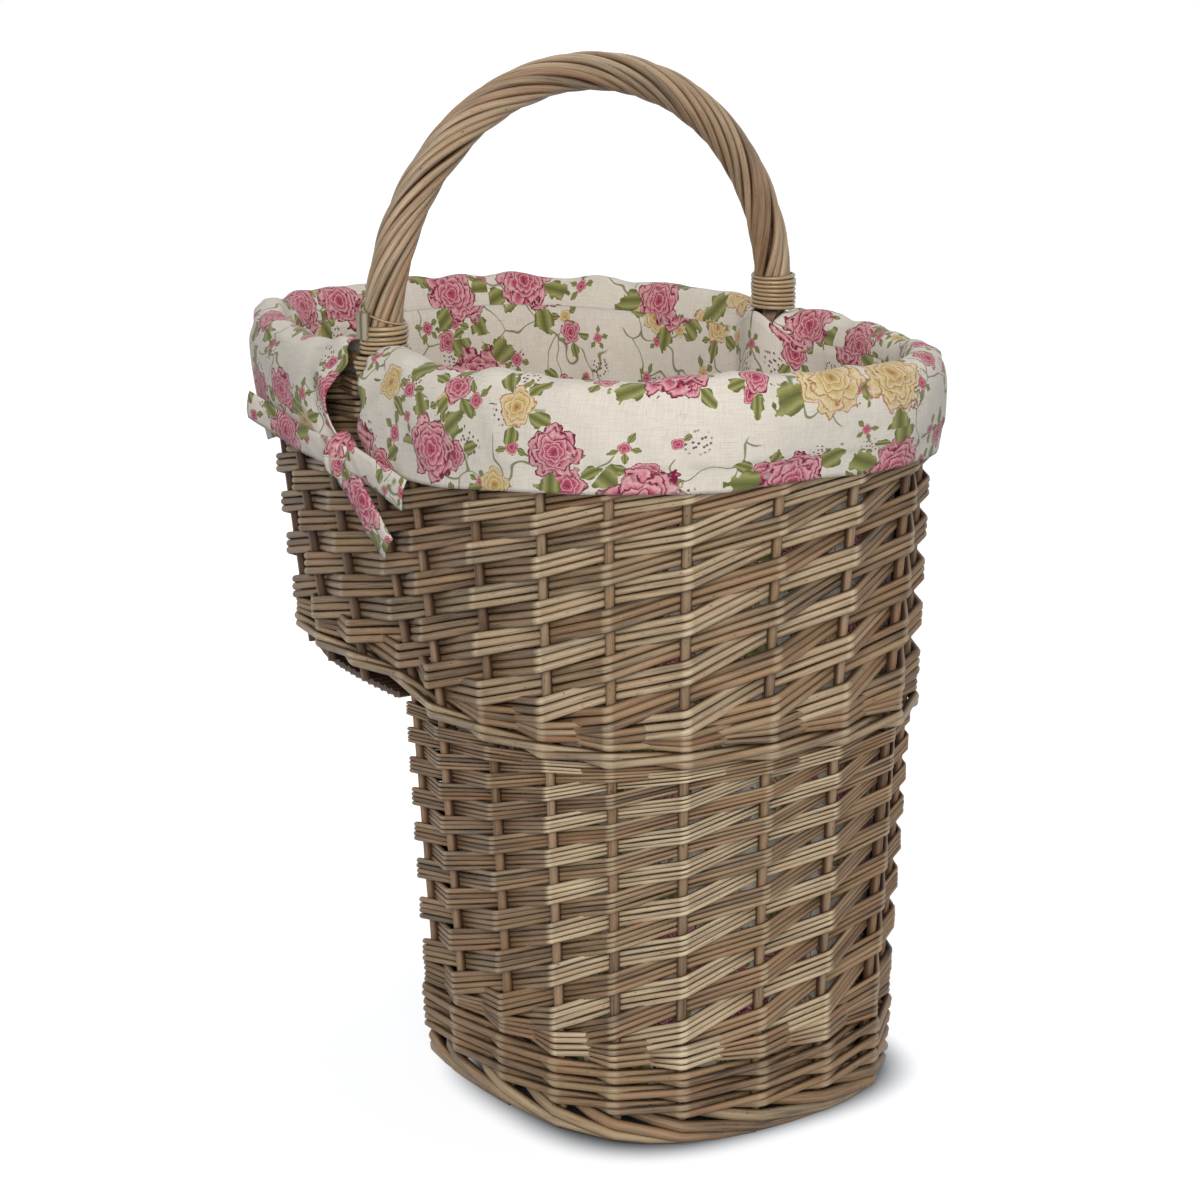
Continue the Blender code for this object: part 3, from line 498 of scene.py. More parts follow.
# How far each stake's crossings lie from their level, in levels, read from the photograph
LOWER_PHASE = [-0.15, -0.38, -0.28, -0.08, -0.01, -0.05, -0.02, -0.10, -0.15, -0.12, -0.05, -0.10, -0.25,
               -0.20] + [-0.20] * RISER_STAKES
UPPER_PHASE = [0.0, -0.09, 0.01, 0.01, 0.02, -0.04, 0.06, 0.05, 0.0, 0.0, 0.02, 0.0, -0.05, 0.0,
               0.10, 0.20, 0.27, 0.30, 0.30, 0.30, 0.30, 0.30, 0.31, 0.27, 0.16]
FIRST_STEP, STEPS_END = -5, 23
Crossing = namedtuple("Crossing", "place normal z half radius outside stake")


def weave_rods(rods, lines, level, phases, bottoms, tops, per_bundle, highlight_rule):
    """French randing: at every stake a bundle of rods starts, and climbs half a level at each stake."""
    for start in range(len(lines)):
        crossings = []
        for step in range(FIRST_STEP, STEPS_END):
            stake = (start + step) % len(lines)
            t = (step + 1) / 2 + phases[stake]
            z = level(t)
            half = level(t + 0.25) - level(t - 0.25)
            outside = step % 2 == 1
            # At both edges a bundle is packed into the room that the next one on its side leaves
            below = (z - bottoms[stake]) / half + EDGE_LEVELS
            above = (tops[stake] - z) / half + EDGE_LEVELS
            limit = OUTSIDE_LIMIT if outside else INSIDE_LIMIT
            if below < limit:
                crossings = []
                continue
            if above < limit:
                break
            squeeze = max(LEAST_SQUEEZE, min(1.0, below, above))
            room = 0.5 * squeeze * half
            z = min(max(z, bottoms[stake] + room), tops[stake] - room)
            here, normal, turn, spacing = wall_at(lines, start + step, z)
            radius = half / per_bundle / 2 * ROD_FILL * (0.45 + 0.55 * squeeze)
            cross = (2 * STAKE_RADIUS + 2 * radius) / spacing
            lean = cos(turn / 2 + (cross if outside else -cross))
            reach = (STAKE_RADIUS + radius + ROD_GAP) / max(lean, LEAST_LEAN)
            if not outside:
                reach *= -max(0.55, 1.0 - 0.35 * turn)
            crossings.append(Crossing(here + normal * reach, normal, z, BUNDLE_FILL * half * squeeze, radius,
                                      outside, stake if squeeze == 1.0 else PACKED))
        # The ends lie inside, behind a stake
        while crossings and crossings[0].outside:
            crossings.pop(0)
        while crossings and crossings[-1].outside:
            crossings.pop()
        if len(crossings) > 1:
            for k in range(per_bundle):
                woven_rod(rods, crossings, start * per_bundle + k, (k + 0.5) / per_bundle - 0.5, highlight_rule)


def woven_rod(rods, crossings, seed, share, highlight_rule):
    """One rod of a bundle: straight from stake to stake, with a sharp bend at each."""
    own = 0.95 + 0.07 * wander(seed, 3.3)
    brown = 0.16 + 0.16 * wander(seed + 31, 0.4)
    stops, line = [], []
    for n, at in enumerate(crossings):
        lift = 0.00030 * wander(seed + 3, n * 1.7)
        proud = 0.00035 * abs(wander(seed + 9, n * 1.3)) * (1 if at.outside else -1)
        stops.append(np.array((*(at.place + at.normal * proud), at.z + share * at.half + lift)))
    for n, at in enumerate(crossings):
        here, out, radius = stops[n], (*at.normal, 0.0), at.radius * own
        back = unit(here - stops[n - 1] if n else stops[1] - here)
        ahead = unit(stops[n + 1] - here if n + 1 < len(stops) else here - stops[n - 1])
        after = highlight_rule(at.stake, at.outside)
        before = highlight_rule(at.stake - 1, not at.outside) if n else after
        if n == 0:
            line.append((here - back * STUB, out, radius * 1.05, brown))
        for step in BENDS:
            way, tone = (back, before) if step < 0 else (ahead, after)
            # Painted highlight: the crown of a bend in front of a stake is painted paler, where the lamps
            # would glint on it
            bend_highlight = 0.35 if at.outside and abs(step) < BEND_CROWN else 0.0
            tone = max(tone * (0.75 + 0.25 * wander(seed + 5, n)), brown) + bend_highlight
            line.append((here + way * step, out, radius, tone))
        if n + 1 < len(stops):
            middle = (here + stops[n + 1]) / 2 + np.array((0, 0, 0.0003 * wander(seed + 17, n * 2.1)))
            line.append((middle, out, radius * (1 + 0.05 * wander(seed + 23, n)),
                         max(after * (0.8 + 0.2 * wander(seed + 5, n)), brown)))
        else:
            line.append((here + ahead * STUB, out, radius * 0.8, brown))
    rods.add(*zip(*line))


def lower_highlight_band(stake, outside):
    """Which stretches of the lower weave are painted with a highlight: a slanting band on the front, on the
    facets turned towards the lamps.
    """
    return 1.0 if 3 <= stake < 7 and outside == (stake % 2 == 1) else 0.05


def upper_highlight_band(stake, outside):
    """Which stretches of the upper weave are painted with a highlight, on the facets turned towards the
    lamps.
    """
    if stake == 2 and outside:
        return 0.65
    return 0.80 if 3 <= stake < 7 and outside == (stake % 2 == 1) else 0.0


def wale_rods(rods, lines, centres, radius, rows, pitch, seed, first, pale):
    """Three-rod wale: each rod goes before two stakes and behind one, and the three turn about each other."""
    for own in range(seed, seed + 3 * rows):
        row, rod = divmod(own - seed, 3)
        marks, line = [], []
        for index in range(first, first + len(lines) + 2):
            phase = (index + rod + row) % 3
            z = centres[index % len(lines)] + pitch * row + (-0.2, -1.0, 1.0)[phase] * 0.98 * radius
            here, normal, turn, _ = wall_at(lines, index, z)
            if phase:
                reach = (STAKE_RADIUS + radius + WALE_PROUD) / max(LEAST_LEAN, cos(turn / 2 + 0.15))
            else:
                reach = -(STAKE_RADIUS + radius + ROD_GAP)
            mark = np.array((*(here + normal * reach), z + 0.0004 * wander(own, index * 1.9)))
            marks.append((mark, (*normal, 0.0), phase, index))
        for n, (mark, out, phase, index) in enumerate(marks):
            back = mark - marks[n - 1][0] if n else marks[1][0] - mark
            ahead = marks[n + 1][0] - mark if n + 1 < len(marks) else back
            # Front passes take the pale colour, partly wash and partly painted highlight, and their bends are
            # painted paler still as a highlight
            tone = pale * (0.75 + 0.5 * wander(own + 4, index * 0.8)) if phase else 0.2
            for step in WALE_BENDS:
                bend_highlight = 0.3 if phase and abs(step) < BEND_CROWN else 0.0
                thick = radius * (1 + 0.06 * wander(own + 2, index * 0.7))
                line.append((mark + unit(back if step < 0 else ahead) * step, out, thick, tone + bend_highlight))
            if n + 1 < len(marks):
                thick = radius * (1 + 0.06 * wander(own + 2, index * 0.7 + 0.4))
                line.append(((mark + marks[n + 1][0]) / 2, out, thick, tone))
        rods.add(*zip(*line))


def round_bow(distance, radius, angle):
    """A point round the handle's centre line, and its direction from it."""
    if distance < LEG:
        middle, out = (0.0, -HALF_SPAN, ROPE_BOTTOM + distance), np.array((0.0, -1.0, 0.0))
    elif distance > ARCH - LEG:
        middle, out = (0.0, HALF_SPAN, ROPE_BOTTOM + ARCH - distance), np.array((0.0, 1.0, 0.0))
    else:
        bend = (distance - LEG) / HALF_SPAN
        out = np.array((0.0, -cos(bend), sin(bend)))
        middle = np.array((0.0, 0.0, SPRING)) + out * HALF_SPAN
    way = out * cos(angle) + np.array((1.0, 0.0, 0.0)) * sin(angle)
    return np.array(middle) + way * radius, way


# Finishes

def willow(name, dark, mid, light, wash_and_highlight, rough, coat=0.0):
    """Willow rods, boiled and peeled: brown lengthwise grain, with a pale colour on the crowns that is partly
    the real wash and partly painted highlight, and painted shade in the valleys.
    """
    material, nodes, shader = new_material(name)
    crown, side, pale, rod, run = (
        add_node(nodes.tree, "ShaderNodeAttribute", {"attribute_name": key}).outputs["Fac"]
        for key in ("crown", "side", "pale", "rod", "run"))
    own = nodes.maths("MULTIPLY", rod, 5.371)
    # Grain: streaks about 25 mm long and a sixth of the rod wide
    around, across = nodes.maths("MULTIPLY", crown, 2.4), nodes.maths("MULTIPLY", side, 2.4)
    long = nodes.maths("MULTIPLY_ADD", run, 42.0, own)
    grain = nodes.cloud(nodes.join(around, across, long), 1.0, 4.0, 0.6)
    # Tone: slow changes from rod to rod and along each
    tone = nodes.cloud(nodes.join(own, nodes.maths("MULTIPLY_ADD", run, 9.0, own)), 1.0, 1.0)
    mixed = nodes.remap(nodes.maths("MULTIPLY_ADD", tone, 1.3, grain), 0.80, 1.55)
    wood = nodes.ramp(mixed, (0.0, dark), (0.42, mid), (0.75, light), (1.0, mid))
    # Hue: some rods are redder, some more olive
    tint = nodes.ramp(nodes.cloud(nodes.join(own, own, 7.0), 1.7, 0.0),
                      (0.34, "#7a5640"), (0.46, "#765a42"), (0.56, "#735c43"), (0.70, "#6b5f49"))
    wood = nodes.mix(0.40, wood, tint, "COLOR")
    # Wash and painted highlight: the pale colour lies on the crown, the side turned out towards the lamps,
    # broken by the grain
    wash_and_highlight_cover = nodes.maths("MULTIPLY", nodes.remap(crown, 0.25, 0.95, soft=True),
                        nodes.remap(grain, 0.30, 0.62, 0.45, 1.0))
    with_wash_and_highlight = nodes.mix(nodes.maths("MULTIPLY", wash_and_highlight_cover, pale, clamp=True), wood, wash_and_highlight)
    # Painted shade: the sides of each rod turned away from the outside are darkened, for the shade in the
    # valleys between rods
    valley_shaded = nodes.mix(nodes.remap(crown, -0.05, 0.74, 0.88, 0.0, soft=True), with_wash_and_highlight, dark)
    # Specks: bark scars, some 2 mm long
    speck = nodes.cloud(nodes.join(around, across, nodes.maths("MULTIPLY_ADD", run, 170.0, own)), 1.6, 2.0)
    colour = nodes.mix(nodes.remap(speck, 0.67, 0.73, 0.0, 0.85, soft=True), valley_shaded, "#2a1d14")
    nodes.surface(shader, colour, grain, 0.35, 0.0004, Specular_IOR_Level=0.35, Coat_Weight=coat,
                  Coat_Roughness=0.35)
    nodes.tree.links.new(nodes.remap(grain, 0.0, 1.0, rough - 0.10, rough + 0.16), shader.inputs["Roughness"])
    return material


def bare_willow(name, dark, mid, light):
    """The same willow where a solid has no rods of its own: grain on object coordinates."""
    material, nodes, shader = new_material(name)
    place = add_node(nodes.tree, "ShaderNodeTexCoord").outputs["Object"]
    # Grain: streaks about 4 mm apart, drawn across the basket's width
    grain = nodes.cloud(nodes.place(place, (260.0, 40.0, 260.0)), 1.0, 4.0)
    colour = nodes.ramp(grain, (0.32, dark), (0.5, mid), (0.68, light))
    nodes.surface(shader, colour, grain, 0.5, 0.0006, Roughness=0.6)
    return material


def printed_cotton(name):
    """Unbleached cotton linen, plain woven and printed with a floral: matt, with slubs both ways."""
    cloth = bpy.context.scene.basket_cloth
    material, nodes, shader = new_material(name)
    uv = add_node(nodes.tree, "ShaderNodeUVMap", {"uv_map": "cloth"}).outputs[0]
    # Ground: threads 0.45 mm apart in the real cloth, drawn 0.9 mm apart so that they show
    threads = [nodes.cloud(nodes.place(uv, scale), 1.0, 2.0, 0.6, flat=True)
               for scale in ((1100.0, 60.0, 1.0), (60.0, 1100.0, 1.0))]
    woven = nodes.maths("ADD", *threads)
    # Slubs: a few thick brownish threads
    slub = nodes.remap(nodes.maths("MAXIMUM", *threads), 0.66, 0.76, 0.0, 0.42)
    ground = nodes.mix(slub, cloth.cream, "#a08b74")
    # Stems: thin curling lines, 0.8 mm wide
    curl = nodes.cloud(uv, 38.0, 1.0, flat=True, output="Color")
    curl = nodes.vector("MULTIPLY_ADD", curl, (0.030, 0.030, 0.0), uv)
    away = nodes.cells(curl, 30.0, feature="DISTANCE_TO_EDGE")["Distance"]
    stem = nodes.remap(away, 0.012, 0.026, 0.85, 0.0)
    where = nodes.remap(nodes.cloud(uv, 17.0, 0.0, flat=True), 0.52, 0.55)
    ground = nodes.mix(nodes.maths("MULTIPLY", stem, where), ground, "#6f7440")
    # Berries: maroon dots 1.3 mm wide in loose clusters
    dot = nodes.remap(nodes.cells(uv, 330.0)["Distance"], 0.20, 0.28, 0.9, 0.0)
    near = nodes.remap(nodes.cells(uv, 16.0)["Distance"], 0.10, 0.13, 1.0, 0.0)
    ground = nodes.mix(nodes.maths("MULTIPLY", dot, near), ground, "#63283f")
    # Three sizes of motif: small leaves and buds, middling blossoms, large blossoms
    for spacing, reach, petals, turn, chance, leafy in (
            (0.027, 0.0044, ((4, 1.0), (3, 0.5)), 1.3, 0.62, 1.45),
            (0.046, 0.0096, ((5, 1.0), (5, 0.70), (3, 0.40)), 2.1, 0.76, 1.05),
            (cloth.motif, 0.0205, ((7, 1.0), (6, 0.80), (5, 0.60), (5, 0.42), (3, 0.24)), 0.4, 0.95, 0.72)):
        shifted = nodes.place(uv, shift=(turn, turn * 1.7, 0.0))
        ground = print_motif(nodes, shifted, ground, spacing, reach, petals, chance, leafy)
    final = nodes.mix(1.0, ground, nodes.remap(woven, 0.70, 1.30, 0.88, 1.05), "MULTIPLY")
    nodes.surface(shader, final, woven, 0.25, 0.0003, Roughness=0.88, Sheen_Weight=0.15,
                  Specular_IOR_Level=0.2)
    return material


def print_motif(nodes, uv, ground, spacing, reach, petals, chance, leafy):
    """Print one size of motif over the ground: leaves, then rings of petals that grow smaller inwards."""
    cells = nodes.cells(uv, 1 / spacing, 0.62)
    pick = add_node(nodes.tree, "ShaderNodeSeparateColor", inputs={0: cells["Color"]}).outputs
    local = nodes.vector("SUBTRACT", uv, cells["Position"])
    apart = add_node(nodes.tree, "ShaderNodeSeparateXYZ", inputs={0: local}).outputs
    theta = nodes.maths("MULTIPLY_ADD", pick[0], 6.28, nodes.maths("ARCTAN2", apart[1], apart[0]))
    warp = nodes.remap(nodes.cloud(uv, 140.0, 2.0, flat=True), 0.3, 0.7, 0.86, 1.14)
    length = nodes.maths("MULTIPLY", nodes.vector("LENGTH", local), warp)
    size = nodes.remap(pick[1], 0.0, 1.0, 0.72 * reach, 1.18 * reach)
    present = nodes.maths("LESS_THAN", pick[2], chance)
    # Leaves: five places round each blossom, some of them empty
    sector = nodes.maths("MULTIPLY", theta, 5 / (2 * pi))
    number = nodes.maths("FLOOR", sector)
    within = nodes.maths("MULTIPLY_ADD", nodes.maths("SUBTRACT", sector, number), 2 * pi / 5, -pi / 5)
    out = nodes.maths("MULTIPLY", nodes.maths("COSINE", within), length)
    off = nodes.maths("ABSOLUTE", nodes.maths("MULTIPLY", nodes.maths("SINE", within), length))
    far = nodes.remap(nodes.maths("DIVIDE", out, size), 0.8, 1.0 + leafy, 0.0, pi)
    width = nodes.maths("MULTIPLY", nodes.maths("SINE", far), 0.30 + 0.12 * leafy)
    inside = nodes.maths("LESS_THAN", off, nodes.maths("MULTIPLY", width, size))
    dice = add_node(nodes.tree, "ShaderNodeTexWhiteNoise", {"noise_dimensions": "1D"},
                    {"W": nodes.maths("MULTIPLY_ADD", pick[0], 9.0, number)}).outputs[0]
    leaf = nodes.maths("MULTIPLY", inside, nodes.maths("LESS_THAN", dice, 0.55))
    vein = nodes.maths("MULTIPLY", nodes.maths("DIVIDE", off, size), 3.0)
    green = nodes.ramp(vein, (0.0, "#666a3c"), (0.30, "#82854a"), (0.65, "#a6a56c"), (1.0, "#6c703f"))
    ground = nodes.mix(nodes.maths("MULTIPLY", leaf, present), ground, green)
    golden = nodes.maths("GREATER_THAN", pick[1], 0.86)
    for number, (count, share) in enumerate(petals):
        wave = nodes.maths("COSINE", nodes.maths("MULTIPLY_ADD", theta, count / 2, number * 0.9))
        wave = nodes.maths("MULTIPLY_ADD", nodes.maths("ABSOLUTE", wave), 0.22, 0.78)
        edge = nodes.maths("MULTIPLY", nodes.maths("MULTIPLY", wave, size), share)
        inwards = nodes.maths("DIVIDE", length, edge)
        mask = nodes.maths("MULTIPLY", nodes.maths("LESS_THAN", inwards, 1.0), present)
        pink = nodes.ramp(inwards, (0.0, "#761a38"), (0.35, "#a32c50"), (0.66, "#bf4a6c"), (0.87, "#e4aaae"),
                          (0.95, "#7d1d40"))
        gold = nodes.ramp(inwards, (0.0, "#8f5f3a"), (0.4, "#bd974f"), (0.7, "#d2b674"), (0.90, "#e6d6ab"),
                          (0.97, "#a8754a"))
        # Streaks: pale hairlines that run out along each petal
        fan = nodes.place(nodes.join(theta, inwards, float(number)), (7.0, 1.6, 3.0))
        streak = nodes.remap(nodes.cloud(fan, 1.0, 2.0), 0.52, 0.72, 0.0, 0.60)
        petal = nodes.mix(streak, nodes.mix(golden, pink, gold), "#edcdc8")
        ground = nodes.mix(mask, ground, petal)
    return ground


# Each finish is made once. The colours of willow are dark, middle, light, and the pale colour of the wash and
# of the painted highlight on the crowns
RECIPES = {
    # Willow weavers, boiled, peeled and rubbed with a pale wash; the pale colour also paints their highlights
    "washed_willow_weave": (willow, "#33241a", "#7b5c40", "#967552", "#d8c7a7", 0.48),
    # Willow stakes, boiled and peeled, with little wash
    "washed_willow_stake": (willow, "#3f2c20", "#795b43", "#8f7053", "#b9a386", 0.55),
    # Willow rods twisted into the bow, worn smooth
    "washed_willow_bow": (willow, "#432f20", "#84674c", "#a28262", "#cbb698", 0.40, 0.2),
    # Rattan cane, split lengthwise, with its glossy skin out; its pale colour is painted highlight on the
    # crowns
    "split_cane": (willow, "#402c1e", "#71553a", "#886844", "#c2a983", 0.28, 0.45),
    # Willow rod ends, cut across and gone grey
    "cut_willow": (willow, "#5f5e50", "#8b897a", "#a3a08f", "#c9c6b4", 0.6),
    # Peeled willow without wash, on the hidden sticks and panels
    "bare_willow": (bare_willow, "#3f2e20", "#6f563f", "#8a6e50"),
    # Cotton linen, plain woven, unbleached and printed
    "printed_cotton": (printed_cotton,),
}
FINISHES = {}


def finish(name):
    """A finish by name."""
    if name not in FINISHES:
        recipe, *values = RECIPES[name]
        FINISHES[name] = recipe(name, *values)
    return FINISHES[name]


# Cloth

def cloth_piece(name, node, grid, uv, thickness, closed_round=False):
    """A cloth sheet from a grid of points, with its flat sizes kept as UV in metres, made thick."""
    rows, columns = grid.shape[:2]
    vertices = grid.reshape(-1, 3) + np.array((SHIFT, 0.0, 0.0))
    faces = []
    for i in range(rows if closed_round else rows - 1):
        j = (i + 1) % rows
        for k in range(columns - 1):
            faces.append((i * columns + k, j * columns + k, j * columns + k + 1, i * columns + k + 1))
    mesh = bpy.data.meshes.new(name)
    mesh.from_pydata([tuple(v) for v in vertices], [], faces)
    layer = mesh.uv_layers.new(name="cloth")
    flat = uv.reshape(-1, 2)
    seam = uv[-1, 0, 0] + (uv[-1, 0, 0] - uv[-2, 0, 0])
    for polygon in mesh.polygons:
        closing = closed_round and polygon.index // (columns - 1) == rows - 1
        for corner in polygon.loop_indices:
            vertex = mesh.loops[corner].vertex_index
            u, v = flat[vertex]
            layer.data[corner].uv = (u + seam if closing and vertex < columns else u, v)
    mesh.shade_smooth()
    mesh.materials.append(finish("printed_cotton"))
    thick, done = bake(mesh, name, "SOLIDIFY")
    thick.thickness = thickness
    thick.offset = 0.0
    thick.use_rim = True
    return finish_piece(done(), [node])


def uv_grid(u, v):
    """UV for each point of a grid, from the places of its rows and columns."""
    return np.stack(np.meshgrid(u, v, indexing="ij"), axis=2)


def flat_uv(grid, start):
    """UV in metres from the lengths along a grid, so that the print runs on from the lining."""
    return uv_grid(running(spans(grid, 0).mean(axis=1)) + start, running(spans(grid, 1).mean(axis=0)))


def rim_loop(name):
    """A plan as a closed run that starts at the near side of the handle and goes round the front."""
    return even_points(front_arc(plan(name), 0.0) + back_arc(plan(name), 0.0)[1:], 1440)


RIM_RUN, STEP_RUN = rim_loop("rim"), rim_loop("overhang")
RIM_LENGTH = float(spans(RIM_RUN).sum())
FAR_LEG = sum((b - a).length for a, b in zip(front_arc(plan("rim"), 0.0), front_arc(plan("rim"), 0.0)[1:]))


def rim_at(run):
    """Place on the rim, place on the step's plan, and outward direction, at a length from the near leg."""
    last = len(RIM_RUN) - 1
    share = (run / RIM_LENGTH) % 1.0 * last
    low = int(share)
    high = min(low + 1, last)
    place, below = (line[low] + (line[high] - line[low]) * (share - low) for line in (RIM_RUN, STEP_RUN))
    tangent = unit(RIM_RUN[(low + 6) % last] - RIM_RUN[(low - 6) % last])
    return place, below, np.array((tangent[1], -tangent[0]))


def wall_lean(z):
    """How far up the upper wall a height lies, from 0 at the step to 1 at the rim."""
    return (min(z, RIM_HEIGHT) - STEP_HEIGHT) / (RIM_HEIGHT - STEP_HEIGHT)


def on_wall(run, out, z):
    """A point on the upper wall: how far round, how far out from the stakes and how high."""
    place, below, normal = rim_at(run)
    return (*(below + (place - below) * wall_lean(z) + normal * out), z)


def hem_height(x):
    """Height of the cuff's hem, which hangs lower towards the overhang and is lifted by the tie."""
    return RIM_CENTRE - HEM_DROP + HEM_SLOPE * x + 0.011 * exp(-((x + 0.12) / 0.05) ** 2)


def lining_edge(x):
    """Height at which the lining meets the cuffs. It stands up into a lip round each leg of the handle."""
    return RIM_HEIGHT + 0.0010 + 0.0150 * exp(-(x / 0.019) ** 2)


def lining_out(run, x, z):
    """How far inside the stakes the lining hangs: soft upright folds, and a swell round each leg."""
    rise = max(0.0, min(1.0, (z - FLOOR_RUN) / (RIM_HEIGHT - FLOOR_RUN)))
    fold = 0.7 * wander(92, run + 0.25 * (RIM_HEIGHT - z), 0.080) + 0.5 * wander(91, run - 0.15 * z, 0.034)
    loose = 0.35 + 0.65 * sin(pi * min(1.0, 0.15 + 0.75 * rise))
    near_leg = max(0.0, 1.0 - (x / 0.036) ** 2) ** 2
    swell = 0.0118 * near_leg * min(1.0, max(0.0, (z - 0.31) / 0.07))
    return -0.0114 - 0.0042 * max(0.0, fold + 0.25) * loose - swell


def cuff_section(run, x, seed):
    """Reach and height of the cuff at one place, from the lining's edge over the rim down to the hem."""
    hem, edge, near = hem_height(x), lining_edge(x), exp(-(x / 0.030) ** 2)
    inner = lining_out(run, x, edge)
    puff = 0.0016 + 0.0032 * wander(seed, run, 0.046) + 0.0016 * wander(seed + 2, run, 0.021)
    crown = max(RIM_TOP + 0.0040 + puff, edge + 0.0022)
    return [(inner, edge), (inner * (0.90 + 0.06 * near), edge + 0.0058 * (1 - 0.8 * near)),
            (-0.0068 - 0.006 * near, crown - 0.0018), (-0.0010, crown), (0.0058, crown - 0.0024),
            (0.0104, RIM_CENTRE + 0.0012), (0.0126, RIM_CENTRE - 0.0080), (0.0132, RIM_CENTRE - 0.020),
            (0.0128, (RIM_CENTRE + hem) / 2 - 0.006), (0.0115, hem + 0.012), (0.0103, hem)]


def smooth_at(points, share):
    """A point on a smooth line through some points."""
    spot = share * (len(points) - 1)
    n = min(int(spot), len(points) - 2)
    f = spot - n
    around = (points[max(0, min(len(points) - 1, n + m))] for m in (-1, 0, 1, 2))
    return [0.5 * (2 * b + (c - a) * f + (2 * a - 5 * b + 4 * c - d) * f * f
                   + (3 * b - a - 3 * c + d) * f ** 3) for a, b, c, d in zip(*around)]


def cuff_grid(start_at, end_at, rows, seed, fold):
    """The cuff along part of the rim. start_at and end_at give its edges' runs at a share of its depth."""
    columns = 40
    grid = np.zeros((rows, columns, 3))
    for i in range(rows):
        u = i / (rows - 1)
        for k in range(columns):
            v = k / (columns - 1)
            span = end_at(v) - start_at(v)
            run = start_at(v) + span * u
            x = rim_at(run)[0][0]
            out, z = smooth_at(cuff_section(run, x, seed), v)
            # Soft folds below, and a few over the crown
            low = max(0.0, min(1.0, (v - 0.45) / 0.35))
            top = exp(-((v - 0.36) / 0.16) ** 2)
            wave = wander(seed + 4, run + 0.030 * v, 0.038) + 0.5 * wander(seed + 5, run - 0.05 * v, 0.015)
            over = 0.7 * fold * top * wander(seed + 6, run, 0.028)
            out += 0.62 * fold * wave * low * (1.15 - 0.4 * v) + over
            # Gathers at both slits, and an uneven hem
            ends = exp(-((u * span) / 0.030) ** 2) + exp(-(((1 - u) * span) / 0.030) ** 2)
            gather = sin(26 * v + 160 * min(u, 1 - u) * span + 3 * wander(seed + 8, v, 0.3))
            out += SLIT_GATHERS * ends * gather * min(1.0, max(0.0, (v - 0.35) / 0.3))
            z += 0.0016 * wander(seed + 7, run, 0.055) * max(0.0, (v - 0.45) / 0.55)
            if v > 0.42:
                out = max(out, 0.0094)
            grid[i, k] = on_wall(run, out, z)
    return grid


def side_plane(x, z):
    """How far out the cuff's outside lies on a side wall."""
    rim, step = (front_arc(plan(name), x)[-1].y for name in ("rim", "overhang"))
    return step + (rim - step) * wall_lean(z) + 0.0128


def strip_grid(course, side, width, twist, seed):
    """A cloth strip along a course of (x, z, extra reach) points on one side of the basket."""
    line = even_points([Vector(p) for p in course], 44)
    columns = 7
    grid = np.zeros((len(line), columns, 3))
    for i in range(len(line)):
        before, after = line[max(0, i - 1)], line[min(len(line) - 1, i + 1)]
        way = unit((after - before)[:2])
        turn = twist * (i / (len(line) - 1) - 0.5)
        for k in range(columns):
            share = k / (columns - 1)
            w = (share - 0.5) * width
            x, z = line[i][:2] + np.array((-way[1], way[0])) * w * cos(turn)
            y = side_plane(x, z) + 0.0016 + line[i][2] + w * sin(turn) + 0.0012 * (1 - (2 * share - 1) ** 2)
            y += 0.0007 * wander(seed, i / 6 + k / 3)
            grid[i, k] = (x, side * y, z)
    return grid


# Operators

class BASKET_OT_stakes(bpy.types.Operator):
    """The upright stakes: thin peeled rods that stand from the foot border to the rim."""

    bl_idname = "basket.stakes"
    bl_label = "Stakes"

    def execute(self, context):
        """Sweep every stake along its course."""
        front = [[(*foot, FOOT_TOP), (*step, STEP_HEIGHT), (*rim, RIM_HEIGHT)] for foot, step, rim in FRONT]
        start = FLOOR_RUN - STAKE_RADIUS
        side = [[(*upper_line(step, rim)(start), start), (*rim, RIM_HEIGHT)]
                for step, rim in BACK[:SIDE_STAKES] + BACK[-SIDE_STAKES:]]
        riser = [self.riser(*low, *high) for low, high in zip(RISER, BACK[SIDE_STAKES:-SIDE_STAKES])]
        seed = 100
        for name, courses, label in (("front_stakes", front, "front_stake_{:02d}"),
                                     ("side_stakes", side, "side_stake_{}"),
                                     ("riser_stakes", riser, "riser_stake_{}")):
            rods = Rods()
            for course in courses:
                self.add(rods, course, seed)
                seed += 1
            names = [label.format(i + 1) for i in range(len(courses))]
            make_rods(name, rods, 12, "washed_willow_stake", names)
        return {"FINISHED"}

    @staticmethod
    def riser(foot, step, end, rim):
        """Up the riser, out under the overhang and up the end wall, with two bends."""
        way = (end - step).normalized()
        up, down = lower_line(foot, step), upper_line(end, rim)
        low, high = FLOOR_RUN - BEND_RADIUS, FLOOR_RUN + BEND_RADIUS
        points = [(*foot, FOOT_TOP), (*up(low), low)]
        for turn in np.linspace(pi / 10, pi / 2, 5):
            out = up(FLOOR_RUN) + way * BEND_RADIUS * (1 - cos(turn))
            points.append((*out, low + BEND_RADIUS * sin(turn)))
        for turn in np.linspace(0.0, 2 * pi / 5, 5):
            out = down(FLOOR_RUN) - way * BEND_RADIUS * (1 - sin(turn))
            points.append((*out, high - BEND_RADIUS * cos(turn)))
        return points + [(*down(high), high), (*rim, RIM_HEIGHT)]

    @staticmethod
    def add(rods, line, seed):
        """One stake, a little uneven along its length."""
        count = 40 if len(line) < 4 else 90
        points = even_points([Vector(p) for p in line], count)
        middle = Vector((0.03, 0.0))
        outward = [(*(Vector(p[:2]) - middle).normalized(), 0.0) for p in points]
        radii = [STAKE_RADIUS * (0.97 + 0.06 * wander(seed, i * 0.35)) for i in range(count)]
        rods.add(points, outward, radii, 0.28 + 0.25 * wander(seed, 0.7))


